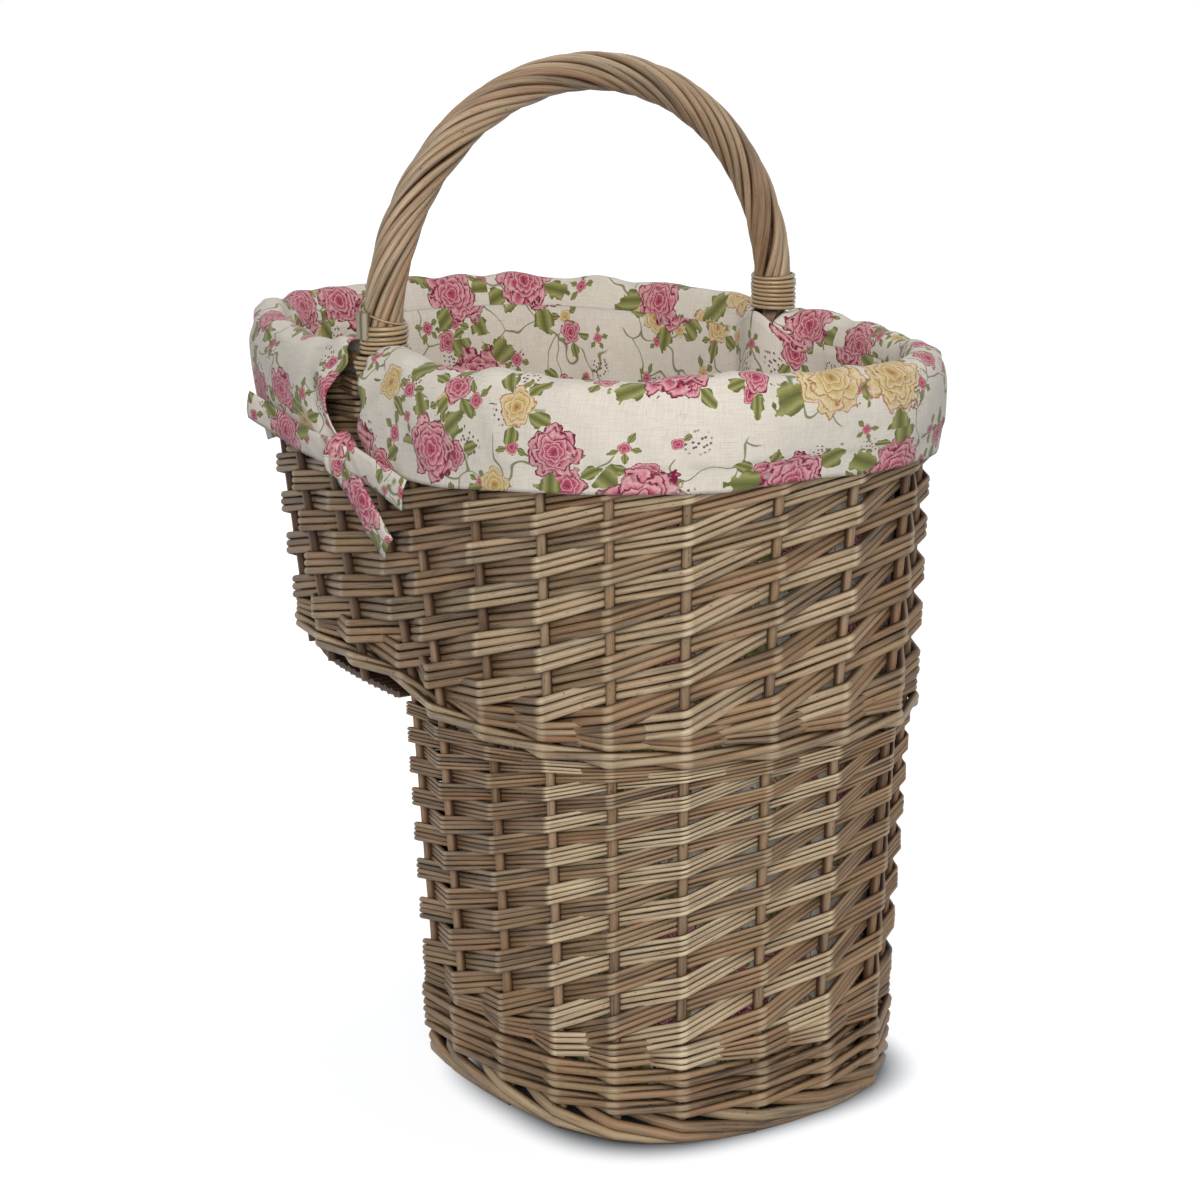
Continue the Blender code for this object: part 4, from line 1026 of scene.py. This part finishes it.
class BASKET_OT_weave(bpy.types.Operator):
    """The woven walls: bundles of fine rods that climb round the stakes, below and above the step."""

    bl_idname = "basket.weave"
    bl_label = "Woven walls"

    def execute(self, context):
        """Weave both walls."""
        sizes = context.scene.basket_weave
        lower_tops = [STEP_HEIGHT - WALE_ROOM] * len(FRONT) + [FLOOR_RUN - BEND_RADIUS] * len(RISER)
        upper_bottoms = [STEP_HEIGHT + WALE_ROOM + rise for rise in UPPER_RISES]
        for name, node, *weave in (
                ("lower_wall", "lower_weave", LOWER, lower_level, LOWER_PHASE, [WEAVE_BOTTOM] * len(LOWER),
                 lower_tops, sizes.lower_rods, lower_highlight_band),
                ("upper_wall", "upper_weave", UPPER, upper_level, UPPER_PHASE, upper_bottoms,
                 [RIM_HEIGHT - 0.0030] * len(UPPER), sizes.upper_rods, upper_highlight_band)):
            rods = Rods()
            weave_rods(rods, *weave)
            make_rods(name, rods, sizes.rod_sides, "washed_willow_weave", [node])
        return {"FINISHED"}


class BASKET_OT_wales(bpy.types.Operator):
    """The wales: rows of three thicker rods twisted round the stakes at the foot and at the step."""

    bl_idname = "basket.wales"
    bl_label = "Wales"

    def execute(self, context):
        """Wale the foot and the step."""
        radius = context.scene.basket_weave.wale_rod
        centres = [STEP_HEIGHT + rise for rise in UPPER_RISES]
        for name, node, *wale in (
                ("foot_wale", "bottom_wale", LOWER, [FOOT_WALE_CENTRE] * len(LOWER), radius,
                 FOOT_WALE_ROWS, FOOT_WALE_PITCH, 40, len(FRONT) + 2, 0.14),
                ("step_wale", "middle_wale", UPPER, centres, radius * 1.05,
                 1, 0.0, 70, len(FRONT) + 5, 0.50)):
            rods = Rods()
            wale_rods(rods, *wale)
            make_rods(name, rods, 10, "washed_willow_weave", [node])
        return {"FINISHED"}


class BASKET_OT_foot(bpy.types.Operator):
    """The foot border, whose thick rods leave from behind the stakes, the overhang's floor and the base."""

    bl_idname = "basket.foot"
    bl_label = "Foot border and floors"

    # A border rod's course: stakes ahead, reach, height and share of the thickness
    STATIONS = ((-0.12, -0.0065, 0.0182, 1.0), (0.12, -0.0048, 0.0180, 1.05), (0.36, -0.0008, 0.0168, 1.08),
                (0.62, 0.0034, 0.0152, 1.10), (1.0, 0.0060, 0.0128, 1.10), (1.5, 0.0068, 0.0096, 1.06),
                (2.0, 0.0060, 0.0064, 0.96), (2.5, 0.0044, 0.0042, 0.84), (3.0, 0.0018, 0.0028, 0.68))

    def execute(self, context):
        """Lay one border rod from each stake, then the floors."""
        radius = context.scene.basket_weave.border_rod
        rods = Rods()
        for start in range(len(LOWER)):
            course = []
            for ahead, out, z, thick in self.STATIONS:
                index, share = start + int(floor(ahead)), ahead - floor(ahead)
                a, na, _, _ = wall_at(LOWER, index, max(z, FOOT_TOP))
                b, nb, _, _ = wall_at(LOWER, index + 1, max(z, FOOT_TOP))
                normal = (na.lerp(nb, share)).normalized()
                spot = a.lerp(b, share) + normal * (out + 0.0006 * wander(start + 3, ahead))
                own = radius * thick * (1 + 0.08 * wander(start, 2.2))
                height = max(z + 0.0008 * wander(start + 11, ahead), own + 0.0002)
                course.append((*spot, height, own, *normal))
            fine = even_points([Vector(p) for p in course], 26)
            outward = [(p[4], p[5], 0.35) for p in fine]
            rods.add(fine[:, :3], outward, fine[:, 3], 0.30 + 0.3 * wander(start, 5.0))
        make_rods("foot_border_rods", rods, 12, "washed_willow_weave", ["foot_border"])
        self.overhang()
        for name in ("base_panel", "bottom_stick_1", "bottom_stick_2", "bottom_stick_3", "top_border",
                     "handle_core"):
            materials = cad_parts[name].data.materials
            materials.clear()
            materials.append(finish("bare_willow"))
        return {"FINISHED"}

    @staticmethod
    def overhang():
        """The overhang's floor: rods laid side by side from wall to wall, beaten down over hidden sticks."""
        rods = Rods()
        front = -0.0150
        edge = back_arc(plan("overhang", 0.0045), front)
        near, far = [p for p in edge if p.y <= 0], [p for p in edge if p.y > 0]
        for n, x in enumerate(np.arange(-0.1965, front, 0.00425)):
            low, high = (float(np.interp(x, *zip(*sorted((p.x, p.y) for p in half)))) for half in (near, far))
            if high - low < 0.03:
                continue
            width = np.linspace(low, high, 33)
            height = 0.2259 + 0.0004 * np.cos(np.pi * (width / 0.031 + n))
            line = np.stack([x + 0.0002 * np.cos(9 * width + n), width, height], axis=1)
            rods.add(line, (0.0, 0.0, -1.0), 0.0022, 0.2 + 0.2 * wander(n + 5, 0.3))
        make_rods("overhang_rods", rods, 8, "washed_willow_weave", ["overhang_floor"])


class BASKET_OT_bow(bpy.types.Operator):
    """The bow handle: rods twisted round a core, with a cane lashing at each foot."""

    bl_idname = "basket.bow"
    bl_label = "Bow handle"

    def execute(self, context):
        """Twist the bow and wind its lashings."""
        sizes = context.scene.basket_bow
        rods = Rods()
        turns = ARCH / sizes.pitch
        centre = ROPE_RADIUS - sizes.strand_radius
        for k in range(sizes.strands):
            own = 1.0 + 0.10 * wander(k + 80, 3.1)
            line = []
            for share in np.linspace(0.0, 1.0, 170):
                angle = 2 * pi * (k / sizes.strands + turns * share) + 0.12 * wander(k + 60, share * 5)
                taper = share if k % 2 else 1 - share
                thick = sizes.strand_radius * own * (1.04 - 0.10 * taper + 0.03 * wander(k + 81, share * 9))
                reach = centre + 0.0006 * wander(k + 30, share * 8)
                line.append((*round_bow(ARCH * share, reach, angle), thick))
            rods.add(*zip(*line), 0.42 + 0.45 * wander(k + 7, 1.5))
        make_rods("bow_rope", rods, 12, "washed_willow_bow", ["handle_rope"])
        self.lash("near_binding", "near_lashing", 10, -0.0165, 1, sizes.cane_radius)
        self.lash("far_binding", "far_lashing", 8, ARCH + 0.0022, -1, sizes.cane_radius)
        self.pegs()
        return {"FINISHED"}

    @staticmethod
    def lash(name, node, turns, start, way, cane):
        """Cane wound round a foot of the handle in one run. Its low turns take in the rim's border too."""
        rods = Rods()
        per_turn, pitch = 40, 2.08 * cane
        border_top, border_depth = 0.0125, 0.0046
        line = []
        for i in range(turns * per_turn + 1):
            turn = i / per_turn
            angle = 2 * pi * turn
            uneven = 0.00025 * wander(turns + 5, turn * 1.7)
            distance = start + way * (cane + pitch * turn + uneven)
            up = distance if way > 0 else ARCH - distance
            low = max(0.0, 1.0 - max(0.0, up + border_top) / 0.0085)
            reach = ROPE_RADIUS + cane + 0.0003 + 0.0003 * wander(turns + 9, turn * 2.3)
            point, out = round_bow(distance, reach, angle)
            point[1] -= way * border_depth * min(1.0, 1.6 * low) * max(0.0, cos(angle))
            line.append((point, out, cane * (1 + 0.10 * wander(turns, i / 30))))
        # The cane's crowns are painted pale: a painted highlight on its glossy skin
        rods.add(*zip(*line), 0.85)
        if node == "near_lashing":
            # The thin tail of the cane goes once more round the bow, aslant
            loop = [round_bow(0.0155 + 0.0035 * cos(2 * pi * n / 60 + 1.0), 0.0120, 2 * pi * n / 60)
                    for n in range(61)]
            rods.add(*zip(*loop), 0.0007, 0.85)
        make_rods(name, rods, 10, "split_cane", [node])

    @staticmethod
    def pegs():
        """Two cut rod ends that stand in the near lashing."""
        rods = Rods()
        for angle in (-0.07 * pi, 0.07 * pi):
            line = [round_bow(0.0035 + 0.0142 * n / 7, ROPE_RADIUS + 0.0026 + 0.0006 * n / 7, angle)[0]
                    for n in range(8)]
            rods.add(line, round_bow(0.01, 0.0135, angle)[1], 0.0023, 0.35)
        make_rods("cut_rod_ends", rods, 12, "cut_willow", ["near_rod_end_1", "near_rod_end_2"])


class BASKET_OT_lining(bpy.types.Operator):
    """The lining bag: printed cotton that hangs down the walls and lies on the floors."""

    bl_idname = "basket.lining"
    bl_label = "Lining bag"

    def execute(self, context):
        """Loft the bag with soft folds: up the foot, out over the step's floor, up the wall."""
        bottom, floor_z = WALE_BOTTOM + 0.0085, FLOOR_RUN + 0.0045
        outer_floor = floor_z + 0.0015
        half, foot_rings, floor_rings, wall_rings = 150, 9, 6, 27
        runs = np.concatenate([np.linspace(0, FAR_LEG, half + 1)[:-1],
                               np.linspace(FAR_LEG, RIM_LENGTH, half + 1)[:-1]])
        low_ring = self.ring("foot", FOOT_CUT, half)
        step_ring = self.ring("step", STEP_CUT, half)
        over_ring = np.array([rim_at(run)[1] - rim_at(run)[2] * LINING_GAP for run in runs])
        rings = [self.blend(low_ring, step_ring, bottom, floor_z, n / foot_rings) for n in range(foot_rings)]
        rings += [self.blend(step_ring, over_ring, floor_z, outer_floor, n / floor_rings)
                  for n in range(floor_rings)]
        for n in range(wall_rings):
            ring = []
            for run in runs:
                x = rim_at(run)[0][0]
                z = outer_floor + (lining_edge(x) - outer_floor) * (n / (wall_rings - 1))
                ring.append(on_wall(run, lining_out(run, x, z) if n else -LINING_GAP, z))
            rings.append(np.array(ring))
        grid = np.array(rings).transpose(1, 0, 2)
        v = running(spans(grid, 1).mean(axis=0))
        piece = cloth_piece("lining", "lining_bag", grid, uv_grid(runs, v - v[-1]),
                            context.scene.basket_cloth.thickness, closed_round=True)
        return {"FINISHED"}

    @staticmethod
    def ring(name, cut, half):
        """One ring of the bag: the part in front of the cut and the part behind it."""
        points = plan(name, LINING_INSET)
        arcs = (arc(points, cut + LINING_INSET) for arc in (front_arc, back_arc))
        return np.concatenate([even_points(line, half + 1)[:-1] for line in arcs])

    @staticmethod
    def blend(low, high, z_low, z_high, share):
        """A ring between two others."""
        z = np.full((len(low), 1), z_low + (z_high - z_low) * share)
        return np.concatenate([low + (high - low) * share, z], axis=1)


class BASKET_OT_cuffs(bpy.types.Operator):
    """The cuffs: the lining's edge turned out over the rim, slit at both feet of the handle."""

    bl_idname = "basket.cuffs"
    bl_label = "Cuffs"

    def execute(self, context):
        """Shape both cuffs. The front one closes round the legs, the back one is drawn aside by the ties."""
        sizes = context.scene.basket_cloth

        def edge(v):
            return SLIT if v < 0.35 else SLIT - 0.0135 * min(1.0, (v - 0.35) / 0.6)

        def gap(v):
            return (SLIT - 0.0070 * exp(-((v - 0.49) / 0.07) ** 2)
                    + 0.0165 * exp(-((v - 0.74) / 0.15) ** 2) - 0.0048 * v * v)

        front = cuff_grid(edge, lambda v: FAR_LEG - edge(v), 300, 1, sizes.fold)
        back = cuff_grid(lambda v: FAR_LEG + gap(v), lambda v: RIM_LENGTH - gap(v), 320, 21, sizes.fold)
        for name, node, grid, start in (("front_turnover", "front_cuff", front, 0.0),
                                        ("back_turnover", "back_cuff", back, FAR_LEG)):
            piece = cloth_piece(name, node, grid, flat_uv(grid, start), sizes.thickness)
        return {"FINISHED"}


class BASKET_OT_ties(bpy.types.Operator):
    """The ties: a strip, a knot and two hanging tails below each foot of the handle."""

    bl_idname = "basket.ties"
    bl_label = "Ties"

    # Each strip: its piece, its solid, its width and twist, and its course as x, height and extra reach
    STRIPS = (
        ("strap", "tie_band", 0.0175, 0.25,
         ((-0.018, 0.0, 0.0045), (-0.034, -0.0020, 0.0020), (-0.060, -0.001, 0.0012),
          (-0.095, 0.003, 0.0020), (-0.117, 0.007, 0.0050), (-0.133, 0.011, 0.0105))),
        ("tail", "tie_tail_1", 0.0185, -0.2,
         ((-0.008, 0.0, 0.0045), (0.010, -0.004, 0.0030), (0.032, -0.009, 0.0020), (0.052, -0.014, 0.0030))),
        ("hanging_tail", "tie_tail_2", 0.0215, 0.15,
         ((-0.014, -0.004, 0.0045), (-0.006, -0.018, 0.0025), (0.006, -0.034, 0.0010),
          (0.024, -0.051, 0.0005))),
    )

    def execute(self, context):
        """Tie both sides."""
        middle = hem_height(0.0) + 0.0105
        for number, (label, side) in enumerate((("near", -1), ("far", 1))):
            for n, (name, node, width, twist, course) in enumerate(self.STRIPS):
                course = [(x, middle + z, reach) for x, z, reach in course]
                grid = strip_grid(course, side, width, twist, number * 9 + n)
                piece = cloth_piece(f"{label}_{name}", f"{label}_{node}", grid,
                                    flat_uv(grid, 0.4 * n + number), TIE_CLOTH)
            knot = self.knot(label, side, middle)
        return {"FINISHED"}

    @staticmethod
    def knot(label, side, middle):
        """A knot: the strip wound once round itself, drawn in where it turns and creased along its run."""
        rows, columns, knot_x = 56, 27, -0.0155
        grid = np.zeros((rows, columns, 3))
        centre = np.array((knot_x, side * (side_plane(knot_x, middle) + 0.0042), middle - 0.0015))
        for i in range(rows):
            a = 2 * pi * i / rows
            for k in range(columns):
                w = 2 * k / (columns - 1) - 1
                crease = 1 + 0.11 * sin(8.5 * w + 1.3 * sin(a)) + 0.05 * wander(55, w * 2 + a)
                swell = (1 - 0.62 * w * w) ** 0.5 * crease
                x = 0.0128 * w * (1 - 0.22 * abs(sin(a))) + 0.0030 * sin(a)
                grid[i, k] = centre + np.array((x, 0.0068 * swell * cos(a) * side, 0.0126 * swell * sin(a)))
        uv = uv_grid(np.linspace(0, 0.06, rows) + 0.2, np.linspace(0, 0.035, columns))
        return cloth_piece(f"{label}_knotted", f"{label}_knot", grid, uv, TIE_CLOTH, closed_round=True)


class BASKET_OT_stage(bpy.types.Operator):
    """The studio: a white floor and backdrop, soft lamps and the camera."""

    bl_idname = "basket.stage"
    bl_label = "Stage"

    def execute(self, context):
        """Set the floor, the lamps, the world and the camera."""
        self.floor(context.scene)
        self.lamps(context.scene)
        self.camera(context.scene)
        context.scene.view_settings.view_transform = "Standard"
        return {"FINISHED"}

    @staticmethod
    def floor(scene):
        """A plain floor. Seen by the camera it is lifted to white, except that the white fades out towards
        the foot: a painted shadow round the foot, on top of the real one.
        """
        mesh = bpy.data.meshes.new("floor")
        reach = 12.0
        mesh.from_pydata([(-reach, -reach, 0), (reach, -reach, 0), (reach, reach, 0), (-reach, reach, 0)],
                         [], [(0, 1, 2, 3)])
        piece = bpy.data.objects.new("floor", mesh)
        scene.collection.objects.link(piece)
        material, nodes, shader = new_material("white_floor")
        shader.inputs["Base Color"].default_value = (0.21, 0.225, 0.255, 1.0)
        shader.inputs["Roughness"].default_value = 0.9
        # The measure is 1 at the edge of the foot, whose plan is nearly this oval
        place = add_node(nodes.tree, "ShaderNodeTexCoord").outputs["Object"]
        away = nodes.vector("MULTIPLY_ADD", place, (9.8, 8.5, 0.0), (-0.98, 0.0, 0.0))
        away = nodes.vector("ABSOLUTE", away)
        cube = nodes.vector("DOT_PRODUCT", away, nodes.vector("MULTIPLY", away, away))
        measure = nodes.maths("POWER", cube, 1 / 3)
        # Painted shadow: the white fades to nothing near the foot, so the floor there darkens to its lamp-lit
        # colour
        close = nodes.remap(measure, 0.93, 1.20, 0.0, 0.86, soft=True)
        wide = nodes.remap(measure, 1.2, 6.0, 0.0, 0.14, soft=True)
        share = nodes.maths("MULTIPLY", nodes.maths("ADD", close, wide), seen_ray(nodes))
        white = add_node(nodes.tree, "ShaderNodeEmission", inputs={"Color": "#ffffff", "Strength": share})
        blend = add_node(nodes.tree, "ShaderNodeAddShader",
                         inputs={0: shader.outputs[0], 1: white.outputs[0]})
        nodes.tree.links.new(blend.outputs[0], nodes.tree.nodes["Material Output"].inputs["Surface"])
        mesh.materials.append(material)

    @staticmethod
    def lamps(scene):
        """Four soft lamps, and a backdrop that the camera sees as white."""
        for name, place, size, power, tint in (("key", (2.65, -1.90, 1.45), 1.9, 88.0, (1.0, 0.975, 0.935)),
                                               ("fill", (-2.4, -1.6, 1.5), 2.2, 4.0, (0.93, 0.96, 1.0)),
                                               ("top", (-0.7, 1.3, 2.6), 2.0, 16.0, (1.0, 1.0, 1.0)),
                                               ("rear", (1.8, 2.2, 1.6), 1.6, 5.5, (1.0, 1.0, 1.0))):
            lamp = bpy.data.lights.new(name, "AREA")
            lamp.size, lamp.energy, lamp.color = size, power, tint
            holder = bpy.data.objects.new(name, lamp)
            scene.collection.objects.link(holder)
            holder.location = place
            towards = Vector((0.0, 0.0, 0.22)) - Vector(place)
            holder.rotation_euler = towards.to_track_quat("-Z", "Y").to_euler()
        scene.world = bpy.data.worlds.new("studio")
        scene.world.use_nodes = True
        nodes = Nodes(scene.world.node_tree)
        backdrop = nodes.tree.nodes["Background"]
        nodes.tree.links.new(nodes.remap(seen_ray(nodes), 0.0, 1.0, 0.25, 1.0), backdrop.inputs["Strength"])
        backdrop.inputs["Color"].default_value = (1.0, 1.0, 1.0, 1.0)

    @staticmethod
    def camera(scene):
        """The photograph's viewpoint: 55 degrees round from the near side, 15 degrees up."""
        azimuth, elevation, distance = radians(55.42), radians(14.74), 1.711
        sensor, pixels = 36.0, 1200
        back = Vector((sin(azimuth) * cos(elevation), -cos(azimuth) * cos(elevation), sin(elevation)))
        data = bpy.data.cameras.new("camera")
        data.sensor_width = sensor
        data.lens = 2785.0 / pixels * sensor
        data.shift_x, data.shift_y = 12.3 / pixels, 48.4 / pixels
        data.dof.use_dof = False
        data.clip_end = 60.0
        camera = bpy.data.objects.new("camera", data)
        scene.collection.objects.link(camera)
        camera.location = Vector((SHIFT, 0.0, 0.24)) + back * distance
        camera.rotation_euler = (-back).to_track_quat("-Z", "Y").to_euler()
        scene.camera = camera


class BASKET_PT_panel(bpy.types.Panel):
    """The basket's pieces and sizes."""

    bl_idname = "BASKET_PT_panel"
    bl_label = "Stair Basket"
    bl_space_type = "VIEW_3D"
    bl_region_type = "UI"
    bl_category = "Stair Basket"

    def draw(self, context):
        """List the operators and the sizes."""
        for operator in OPERATORS:
            self.layout.operator(operator.bl_idname)
        for name in GROUPS:
            group = getattr(context.scene, name)
            box = self.layout.box()
            for key in group.bl_rna.properties.keys():
                if key not in ("rna_type", "name"):
                    box.prop(group, key)


GROUPS = {"basket_weave": BasketWeave, "basket_bow": BasketBow, "basket_cloth": BasketCloth}
OPERATORS = (BASKET_OT_stakes, BASKET_OT_weave, BASKET_OT_wales, BASKET_OT_foot, BASKET_OT_bow,
             BASKET_OT_lining, BASKET_OT_cuffs, BASKET_OT_ties, BASKET_OT_stage)
CLASSES = (*GROUPS.values(), *OPERATORS, BASKET_PT_panel)


def register():
    """Register the add-on's classes and settings."""
    for kind in CLASSES:
        bpy.utils.register_class(kind)
    for name, kind in GROUPS.items():
        setattr(bpy.types.Scene, name, PointerProperty(type=kind))


def unregister():
    """Take the add-on's classes and settings out again."""
    for name in GROUPS:
        delattr(bpy.types.Scene, name)
    for kind in reversed(CLASSES):
        bpy.utils.unregister_class(kind)


def main():
    """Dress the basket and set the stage."""
    register()
    for operator in OPERATORS:
        group, name = operator.bl_idname.split(".")
        getattr(getattr(bpy.ops, group), name)()


if __name__ == "__main__":
    main()
